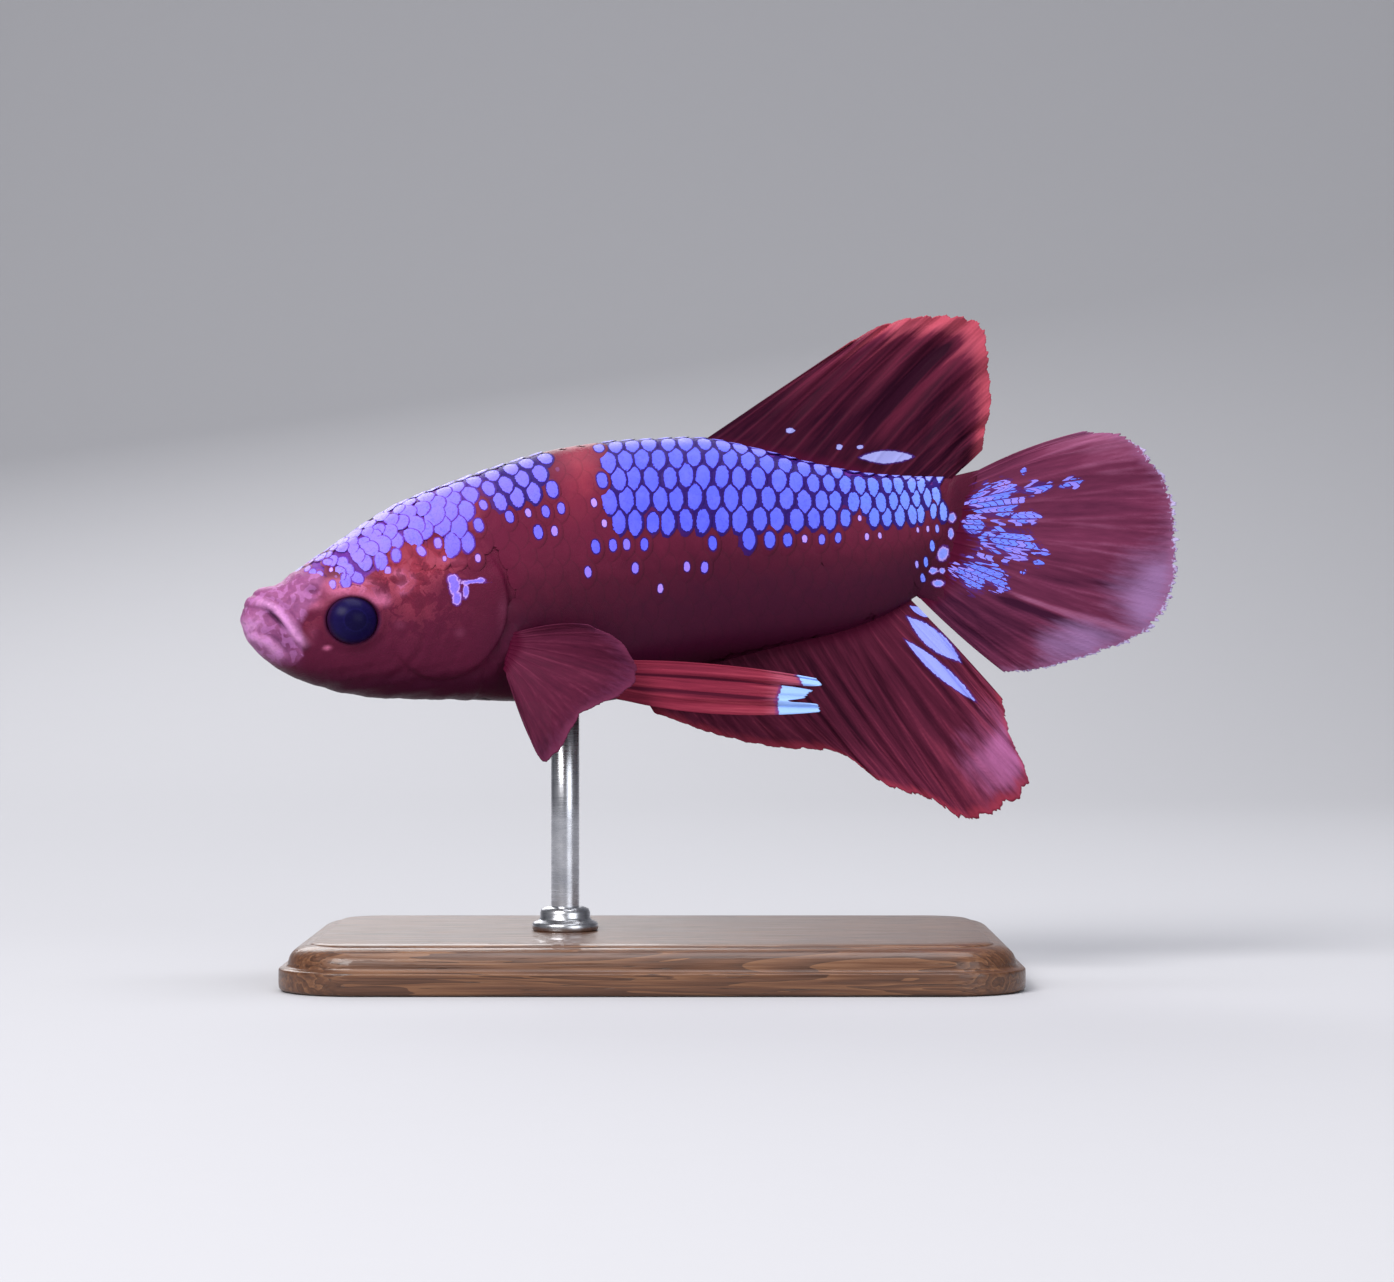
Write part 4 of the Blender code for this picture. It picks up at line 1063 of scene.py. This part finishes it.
def addFin(name, fin, paint, material, replaced, side=0):
    # a web over the fan: along each ray the point runs from root to tip on a bowed line, its tip moved
    # in by scallops and slots; folds across it are sine waves that grow with the distance out. A middle
    # fin's tips curl to one side by the square of that distance, and a paired fin sweeps out from the body
    columns, rows, rayCount = fin["columns"], fin["rows"], fin["rayCount"]
    thinning, rootSwell = 0.55, 0.25  # the share a web loses out to its edge, and what it gains at its root
    across = np.linspace(0, 1, columns) * np.ones((rows, 1))
    along = np.linspace(0, 1, rows)[:, None] ** 0.9 * np.ones(columns)
    scallop = -fin["scallop"] * (1 - np.abs(np.cos(math.pi * across * rayCount)))
    frays = waves(across * 60, 0 * across, 1.0, 31) + 0.7 * waves(across * 170, 0 * across, 1.0, 32)
    slots = sum(depth * hump(across - at, width) for at, width, depth in fin.get("slots", ()))
    slots += fin.get("shortLobe", 0.0) * window(across, 0.38, 0.5, 0.68, 0.76)
    reach = 1 + scallop + fin["ragged"] * frays - slots
    t = along * (1 + (reach - 1) * smoothStep(0.4, 1.0, along))
    rays = liftedRays(fin["rays"], fin.get("turnedUp", 0.0) if side > 0 else 0.0)
    rootX, rootZ, tipX, tipZ, bow = np.moveaxis(throughRows(rays, across), -1, 0)
    sideStep = 4 * bow * t * (1 - t)
    x = rootX + (tipX - rootX) * t - (tipZ - rootZ) * sideStep
    z = rootZ + (tipZ - rootZ) * t + (tipX - rootX) * sideStep
    fold = sum(depth * np.sin(2 * math.pi * (waveCount * across + 0.3 * waves(across, t, 0.8, 7)) + phase)
               for waveCount, depth, phase in fin["folds"])
    out = side * throughRows(np.array(fin["sweep"])[:, None], t)[..., 0] if side else fin["curl"] * t**2
    middle = bent(x, out + fold * smoothStep(0.0, 1.0, t), z)
    onRay = rayRidge(across, t, rayCount)
    swell = rootSwell * smoothStep(0.22, 0.0, t)
    thickness = (fin["membrane"] + fin["ray"] * onRay) * (1 - thinning * t) + swell
    offset = gridNormals(middle) * (thickness / 2)[..., None]
    vertices = np.concatenate([(middle + offset).reshape(-1, 3), (middle - offset).reshape(-1, 3)])

    # both faces side by side on the map, and the rim between them
    quads, places = gridQuads(rows, columns)
    places = places / [rows - 1, columns - 1]
    front, back = places * [0.47, 1] + [0.52, 0], places * [-0.47, 1] + [0.48, 0]
    index = np.arange(rows * columns).reshape(rows, columns)
    edge = np.concatenate([index[0], index[1:, -1], index[-1, -2::-1], index[-2:0:-1, 0]])
    after = np.roll(edge, -1)
    rim = np.stack([edge, after, after + rows * columns, edge + rows * columns], -1)
    run = np.arange(len(edge))
    rimAlong = np.stack([run, run + 1, run + 1, run], -1) / len(edge)
    rimUp = [0.51, 0.51, 0.49, 0.49] + 0.0 * rim
    polygons = [
        (quads, front[..., ::-1]),
        (quads[:, ::-1] + rows * columns, back[:, ::-1, ::-1]),
        (rim, np.stack([rimAlong, rimUp], -1)),
    ]
    fields = paint(across, t, x, z)
    fields.update({"across": across * rayCount, "along": t, "ray": onRay,
                   "tipGap": (1 - along) * np.hypot(tipX - rootX, tipZ - rootZ)})
    fields = {key: np.tile((values + 0 * across).ravel(), 2) for key, values in fields.items()}
    return addPiece(name, vertices, polygons, material, replaced, "fin", fields)


def blobField(x, z, blobs):
    # the greatest of 1 - a^2 - |b| over leaning lens shapes, a and b being shares of their half sizes
    field = np.full(x.shape, -1.0)
    for blobX, blobZ, halfLength, halfHeight, lean in blobs:
        along, across = leaning(x, z, blobX, blobZ, lean)
        field = np.maximum(field, 1 - (along / halfLength) ** 2 - np.abs(across / halfHeight))
    return field


def finMaterial(name, fin):
    # tone from dark to light by its field, streaked along the rays by noise stretched out to the tips,
    # then mauve, the edge by the distance from the tip, the flesh at the root, the blue marks and a
    # fringe; on a fringed fin the marks are broken into short blocks along the rays
    material, tree = newMaterial(name)
    tints = fin["tints"]
    streaks, hairs, rootReach = fin.get("streaks", 0.7), fin.get("hairs", 0.5), fin.get("rootReach", 0.15)
    across, along, tipGap, ray, marked = (
        fieldOf(tree, field) for field in ("across", "along", "tipGap", "ray", "mark")
    )
    streakPlace = vectorOf(across, along * 1.3, 0.0)
    streak, fineStreak = noiseOf(streakPlace, 0.55, 2, 0.5, 0.3), noiseOf(streakPlace, 0.16, 3, 0.6)
    fine = noiseOf(objectPlace(tree), 0.2, 3, 0.6)
    tone = fieldOf(tree, "tone") + (streak - 0.5) * streaks + (fineStreak - 0.5) * hairs + (ray * 0.16 - 0.04)
    mark = marked + (fine * 0.4 - 0.2)
    shown, halo, blue = between(mark, 0.0, 0.10), between(mark, -0.25, 0.0, 0.0, 0.6), tints["blue"]
    edgeShown = between(tipGap + (streak * 1.4 - 0.7), fin["edgeWidth"], 0.0, 0.0, fin.get("edgeShare", 0.8))
    if "fringe" in tints:
        wobble = noiseOf(vectorOf(across * 3.0, along, 0.0), 1.0, 1, 0.5)
        shade, gaps = bricksOf(vectorOf(along * 30.0 + wobble * 6.0, across * 2.5, 0.0), 0.10)
        capped, solid = calculate("MINIMUM", marked, 0.4), calculate("MAXIMUM", marked - 0.62, 0.0)
        chance = capped * 1.4 + solid * 3.0 + (shade - 0.80)
        shown = calculate("SUBTRACT", between(chance, 0.0, 0.06), gaps, clamped=True)
        halo = between(chance, -0.45, 0.0, 0.0, 0.65)
        blue = layered(blue, (between(shade, 0.55, 0.9, 0.0, 0.45), srgb(168, 128, 212)))
    colour = layered(
        rampOf(tone, [(0.0, tints["dark"]), (0.5, tints["middle"]), (1.0, tints["light"])]),
        (between(fieldOf(tree, "mauve") + (fineStreak * 0.5 - 0.25), 0.15, 1.0), tints["mauve"]),
        (edgeShown, tints["edge"]),
        (between(fineStreak * 0.06 + along, rootReach, 0.5 * rootReach), fleshTints["middle"]),
        (halo, srgb(62, 36, 120)),
        (shown, blue),
    )
    if "fringe" in tints:
        gap = fieldOf(tree, "fringeGap") + (fine * 1.2 - 0.6)
        colour = layered(colour, (between(gap, 0.24, 0.0, 0.0, 0.75), tints["fringe"]))
    segments = calculate("SINE", tipGap * 18.0) * ray * 0.15
    height = (fineStreak + segments) * between(along, 0.05, 0.5)
    roughness = between(fineStreak, 0.3, 0.7, 0.5, 0.64)
    return finished(material, colour, roughness, height, 0.03, 0.03, Alpha=fin.get("alpha", 1.0))


def paintDorsal(across, along, x, z):
    # dark core, painted light on the folds in the upper front, painted shade and highlight along a crease,
    # paler rear edge
    front = smoothStep(0.55, 0.15, across)
    folds = 0.5 * np.sin(2 * math.pi * (9.0 * across + 0.35 * waves(across * 3, along, 0.9, 8))) + 0.5
    tone = 0.10 + front * smoothStep(0.25, 0.95, along) * (0.12 + 0.55 * folds**2)
    tone += 0.60 * smoothStep(0.64, 1.0, along) * smoothStep(0.42, 0.7, across)
    tone += 0.12 * smoothStep(0.75, 1.0, along)
    tone += 0.75 * smoothStep(0.78, 1.0, along) * window(across, 0.05, 0.25, 0.45, 0.65)
    # painted shade along a crease, and a painted highlight just behind it
    tone -= 0.45 * hump(across - 0.46, 0.03) * window(along, 0.2, 0.5, 0.75, 0.95)
    tone += 0.35 * hump(across - 0.52, 0.02) * window(along, 0.15, 0.4, 0.8, 1.0)
    marks = blobField(x, z, dorsalFin["marks"])
    return {"tone": tone, "mauve": 0.2 * front * smoothStep(0.3, 0.8, along), "mark": marks}


def paintAnal(across, along, x, z):
    # painted shade in grooves from the base, paler towards the rear, the thin pinkish tip
    grooves = np.sin(2 * math.pi * (17 * across + 0.25 * waves(across * 4, along, 0.8, 9)))
    tone = 0.26 + 0.2 * smoothStep(0.3, 0.9, along) + 0.18 * smoothStep(0.5, 0.85, across)
    tone -= 0.22 * smoothStep(0.2, 0.9, grooves) * window(along, 0.1, 0.3, 0.6, 0.9)
    warp = 0.5 * waves(x, z, 3.0, 13)
    mauve = 0.85 * bell(x + warp, z - warp, 18.7, 14.3, 2.6, 2.8)
    return {"tone": tone, "mauve": mauve, "mark": blobField(x, z, analFin["marks"])}


def paintTail(across, along, x, z):
    # painted shade along two folds with a painted highlight beside the second, paler top rays, lavender where
    # the web is thinnest
    fold = 0.52 + 0.03 * np.sin(4 * along)
    # painted shade along the first fold
    tone = 0.42 - 0.3 * hump(across - fold, 0.022) * smoothStep(0.35, 0.6, along)
    crease = 0.70 - 0.02 * along
    # painted shade in the crease, then a painted highlight on its edge
    tone -= 0.5 * hump(across - crease, 0.018) * window(along, 0.3, 0.45, 0.85, 1.0)
    tone += 0.5 * hump(across - crease + 0.035, 0.012) * smoothStep(0.35, 0.5, along)
    tone += 0.35 * smoothStep(0.28, 0.05, across) * smoothStep(0.4, 0.9, along)
    tone -= 0.25 * smoothStep(0.6, 0.85, across) * smoothStep(0.9, 0.5, along)
    warp = 0.5 * waves(x, z, 3.5, 12)
    rear = bell(x, z + warp, 28.3, 24.6, 3.0, 2.7)
    low = bell(x + warp, z, 23.6, 21.6, 2.7, 1.6)
    mauve = 0.82 * np.maximum(rear, low) + 0.3 * smoothStep(0.8, 1.0, along)
    fringeGap = (1 - along) * 13 + 2 * smoothStep(0.14, 0.06, across)
    marks = blobField(x, z, tailFin["marks"])
    return {"tone": tone, "mauve": mauve, "mark": marks, "fringeGap": fringeGap}


def paintPelvic(across, along, x, z):
    # painted shade in two grooves between the lobes, paler and mauve towards the blue tips
    tone = 0.45 + 0.2 * smoothStep(0.5, 1.0, along)
    for groove in (0.36, 0.66):
        wander = across - groove - 0.02 * np.sin(9 * along)
        tone = tone - 0.6 * hump(wander, 0.035) * smoothStep(0.05, 0.3, along)
    tipStart = np.where(across < 0.35, 0.915, 0.835)
    return {"tone": tone, "mauve": 0.5 * smoothStep(0.72, 0.86, along), "mark": (along - tipStart) * 16 - 0.1}


def paintPectoral(across, along, x, z):
    # darker and more mauve towards the tips, no marks
    return {"tone": 0.55 - 0.25 * along, "mauve": 0.4 * smoothStep(0.5, 1.0, along), "mark": -1.0 + 0 * x}


def eyeMaterial():
    # rings by the distance from the middle of the eye: pupil, a faint inner ring, navy iris, purple rim
    material, tree = newMaterial("wetEye")
    distance = fieldOf(tree, "fromMiddle")
    spokes = noiseOf(vectorOf(fieldOf(tree, "bearing") * 6.0, distance * 1.5, 0.0), 0.5, 3, 0.6)
    rings = rampOf(distance + (spokes * 0.06 - 0.03), [
        (0.0, srgb(14, 8, 44)), (0.42, srgb(15, 9, 48)), (0.47, srgb(22, 16, 64)), (0.52, srgb(17, 11, 54)),
        (0.80, srgb(22, 14, 60)), (0.92, srgb(24, 12, 50)), (1.0, srgb(44, 18, 50)),
    ])
    colour = layered(rings, (between(spokes, 0.5, 0.75) * 0.3, srgb(36, 28, 88)))
    return finished(material, colour, 0.3, specular=0.05)


def addEye(name, side, material):
    # a flattened ball, its grid running out from the middle of its face; a low cornea stands on it
    rows, columns, corneaHeight = 48, 72, 0.10
    polar, bearing = np.linspace(0, math.pi, rows + 1)[1:-1, None], 2 * math.pi * np.arange(columns) / columns
    eyeX, eyeZ = face["eye"]
    radiusX, radiusY, radiusZ = face["eyeRadii"]
    cornea = corneaHeight * np.clip(1 - (polar / 0.95) ** 2, 0, 1) ** 1.5
    forward = radiusX * np.sin(polar) * np.cos(bearing)
    z = eyeZ + radiusZ * np.sin(polar) * np.sin(bearing)
    y = side * (face["eyeLateral"] + radiusY * np.cos(polar) + cornea)
    yaw = math.radians(body["headYaw"])
    point = bent(eyeX + 0 * z, y, z) + forward[..., None] * np.array([math.cos(yaw), math.sin(yaw), 0])
    reaches = (radiusY + corneaHeight, -radiusY)
    poles = [bent(eyeX, side * (face["eyeLateral"] + reach), eyeZ) for reach in reaches]
    fields = {
        "fromMiddle": np.append(np.where(polar < math.pi / 2, np.sin(polar), 1.0) + 0 * z, [0, 1]),
        "bearing": np.append(np.abs(bearing - math.pi) + 0 * z, [0, 0]),
    }
    replaced = (name.replace("eyeball", "eye"),)
    return addPiece(name, *closedTube(point, poles), material, replaced, "eye", fields)


stand = {
    "baseLength": 46.0, "baseWidth": 30.0, "baseHeight": 3.0, "corner": 5.0, "middleX": -4.0,
    # the edge as distance in from the outline, and height
    "edge": ((0.45, 0.0), (0.10, 0.12), (0.0, 0.45), (0.0, 1.25), (0.10, 1.42), (0.42, 1.50), (0.55, 1.62),
             (0.60, 1.85), (0.75, 2.25), (1.10, 2.60), (1.60, 2.80), (1.95, 2.84), (2.05, 2.92), (2.30, 3.0)),
    "rodX": -9.3, "rodRadius": 0.9, "rodTop": 19.6,
    # the collar as radius and height
    "collar": ((0.9, 3.0), (2.02, 3.0), (2.1, 3.08), (2.1, 3.42), (2.0, 3.55), (1.72, 3.66), (1.6, 3.85),
               (1.6, 4.15), (1.5, 4.38), (1.2, 4.52), (0.92, 4.55)),
}


def roundedPath(halfLength, halfWidth, corner, steps=14):
    # points round a rectangle whose corners are quarter circles, and their outward directions
    angles = [(quarter + step / steps) * math.pi / 2 for quarter in range(4) for step in range(steps + 1)]
    signs = [s for s in ((1, 1), (-1, 1), (-1, -1), (1, -1)) for _ in range(steps + 1)]
    outward = np.array([(math.cos(a), math.sin(a)) for a in angles])
    centre = np.array(signs) * [halfLength - corner, halfWidth - corner]
    return centre + outward * corner, outward


def raised(rings, heights):
    # flat rings of x and y, each at its own height
    return np.concatenate([rings, heights[:, None, None] + 0 * rings[..., :1]], -1)


def addBase(material):
    # the moulded edge carried round the outline, then rings that shrink to the middle of the top and the foot
    outline, outward = roundedPath(stand["baseLength"] / 2, stand["baseWidth"] / 2, stand["corner"])
    profile = throughRows(stand["edge"], np.linspace(0, 1, 60)).clip(0, stand["baseHeight"])
    rim = outline - outward * profile[:, :1, None]
    shrink = np.array([0.25, 0.5, 0.75, 0.9])[:, None, None]
    rings = np.concatenate([rim[:1] * shrink, rim, rim[-1:] * shrink[::-1]]) + [stand["middleX"], 0]
    heights = np.concatenate([np.zeros(4), profile[:, 1], np.full(4, stand["baseHeight"])])
    poles = [[stand["middleX"], 0, height] for height in (0, stand["baseHeight"])]
    surface = closedTube(raised(rings, heights), poles)
    return addPiece("standBase", *surface, material, ("stand_base",), "stand_wood")


def addTurned(name, profile, material, replaced, sides=72):
    # a profile of radius and height spun round the rod's axis, closed by discs
    profile = np.array(profile)
    angle = 2 * math.pi * np.arange(sides) / sides
    axis = bent(stand["rodX"], 0.0, 0.0)[:2]
    rings = axis + np.stack([np.cos(angle), np.sin(angle)], -1) * profile[:, :1, None]
    poles = [[*axis, height] for height in profile[[0, -1], 1]]
    surface = closedTube(raised(rings, profile[:, 1]), poles)
    return addPiece(name, *surface, material, (replaced,), "stand_steel")


def woodMaterial():
    # long grain: noise stretched along the plank, bands through it, and dark pores
    material, tree = newMaterial("walnutWood")
    flow = noiseOf(objectPlace(tree, (0.06, 0.8, 0.8)), 1.6, 3, 0.55, 0.6)
    fibre = noiseOf(objectPlace(tree, (0.12, 6.0, 6.0)), 0.9, 3, 0.6)
    pores = between(noiseOf(objectPlace(tree, (0.25, 9.0, 9.0)), 0.8, 2, 0.6), 0.62, 0.75)
    tone = calculate("FRACT", flow * 9.0) * 0.35 + fibre * 0.6
    grain = rampOf(tone, [(0.15, srgb(52, 30, 20)), (0.5, srgb(92, 58, 38)), (0.85, srgb(132, 92, 62))])
    colour = layered(grain, (pores * 0.6, srgb(30, 17, 12)))
    roughness = between(fibre, 0.3, 0.7, 0.32, 0.48)
    return finished(material, colour, roughness, fibre - pores, 0.03, 0.4, **{"Coat Weight": 0.25})


def steelMaterial():
    # fine turning lines round the rod: noise squeezed along its height
    material, tree = newMaterial("brushedSteel")
    lines = noiseOf(objectPlace(tree, (0.4, 0.4, 14.0)), 1.0, 3, 0.6)
    smear = noiseOf(objectPlace(tree), 1.5, 2, 0.5)
    colour = rampOf(smear, [(0.3, srgb(176, 178, 184)), (0.7, srgb(208, 209, 213))])
    return finished(material, colour, between(lines, 0.3, 0.7, 0.24, 0.32), lines, 0.003, Metallic=1.0)


studio = {
    "cameraDistance": 250.0,
    "aim": (-1.24, 21.5),  # x and z that the level camera looks at
    "lens": 100.6,
    "floorTint": srgb(178, 178, 182),
    # how far the floor runs back before its bend, the bend's radius, and how high it ends
    "sweep": (260.0, 300.0, 700.0),
    # name, place in metres, watts, size, colour
    "lights": (
        ("keyLight", (-0.22, -0.34, 0.34), 3.1, 0.26, (1.0, 0.98, 0.97)),
        ("fillLight", (0.30, -0.40, 0.12), 1.0, 0.34, (0.94, 0.96, 1.0)),
        ("topLight", (0.04, 0.02, 0.42), 1.3, 0.30, (0.95, 0.96, 1.0)),
        ("rimLight", (-0.10, 0.34, 0.22), 0.6, 0.22, (1.0, 1.0, 1.0)),
    ),
    "worldStrength": 0.22,
}


def addFloor():
    # a floor that sweeps up behind the model on a quarter circle
    material, tree = newMaterial("paperFloor")
    speck = noiseOf(objectPlace(tree), 3.0, 3, 0.5)
    finished(material, layered(studio["floorTint"], (speck * 0.06, srgb(190, 190, 196))), 0.9, specular=0.2)
    start, radius, height = studio["sweep"]
    bend = np.linspace(0, math.pi / 2, 33)
    y = np.concatenate([[-2600.0], start + radius * np.sin(bend), [start + radius]])[:, None]
    z = np.concatenate([[0.0], radius * (1 - np.cos(bend)), [height]])[:, None]
    x = np.linspace(-2000, 2000, 3) + 0 * y
    quads, _ = gridQuads(*x.shape)
    mesh = bpy.data.meshes.new("paperSweep")
    points = np.stack([x, y + 0 * x, z + 0 * x], -1).reshape(-1, 3) * mm
    mesh.from_pydata(points.tolist(), [], quads[:, ::-1].tolist())
    mesh.shade_smooth()
    mesh.materials.append(material)
    sweep = linked("paperSweep", mesh)


def buildStudio():
    # the floor, square lights turned to the middle of the model, a dim room and the level camera
    addFloor()
    aim = np.array([studio["aim"][0], 0, studio["aim"][1]]) * mm
    for name, place, watts, size, colour in studio["lights"]:
        lamp = bpy.data.lights.new(name, "AREA")
        lamp.shape, lamp.size, lamp.energy, lamp.color = "SQUARE", size, watts, colour
        light = linked(name, lamp)
        light.location = place
        light.rotation_euler = Vector(aim - np.array(place)).to_track_quat("-Z", "Y").to_euler()
    world = bpy.data.worlds.new("softRoom")
    world.use_nodes = True
    background = world.node_tree.nodes["Background"]
    background.inputs["Color"].default_value = srgb(235, 238, 248)
    background.inputs["Strength"].default_value = studio["worldStrength"]
    scene = bpy.context.scene
    scene.world = world
    optics = bpy.data.cameras.new("camera")
    optics.lens, optics.sensor_width, optics.clip_start = studio["lens"], 36.0, 0.01
    scene.camera = linked("camera", optics)
    scene.camera.location = (aim[0], -studio["cameraDistance"] * mm, aim[2])
    scene.camera.rotation_euler = (math.pi / 2, 0, 0)
    scene.view_settings.view_transform = "Standard"
    print("studio: floor, four lights, camera")


def buildFish():
    # the skin, the two coats of scales and the eyes
    addSkin(skinMaterial())
    plates = scaleMaterial()
    addScales("scalesLeft", -1, plates)
    addScales("scalesRight", 1, plates)
    wetEye = eyeMaterial()
    addEye("eyeball_left", -1, wetEye)
    addEye("eyeball_right", 1, wetEye)


def buildFins():
    # the three middle fins, then the paired ones on each side
    middleFins = (
        ("dorsal", dorsalFin, paintDorsal),
        ("anal", analFin, paintAnal),
        ("tail", tailFin, paintTail),
    )
    for name, fin, paint in middleFins:
        addFin(f"{name}WebPiece", fin, paint, finMaterial(f"{name}Web", fin), (f"{name}_fin",))
    pelvic, pectoral = finMaterial("pelvicWeb", pelvicFin), finMaterial("pectoralWeb", pectoralFin)
    for name, side in (("left", -1), ("right", 1)):
        addFin(f"pelvicWeb_{name}", pelvicFin, paintPelvic, pelvic, (f"pelvic_fin_{name}",), side)
        addFin(f"pectoralWeb_{name}", pectoralFin, paintPectoral, pectoral, (f"pectoral_fin_{name}",), side)


def buildStand():
    # the wooden base, the collar and the rod that runs up into the belly
    addBase(woodMaterial())
    steel = steelMaterial()
    addTurned("standCollar", stand["collar"], steel, "stand_collar")
    rod = [(stand["rodRadius"], height) for height in (1.2, 3.0, 10.0, stand["rodTop"])]
    addTurned("standRod", rod, steel, "stand_rod")


buildStudio()
buildFish()
buildFins()
buildStand()
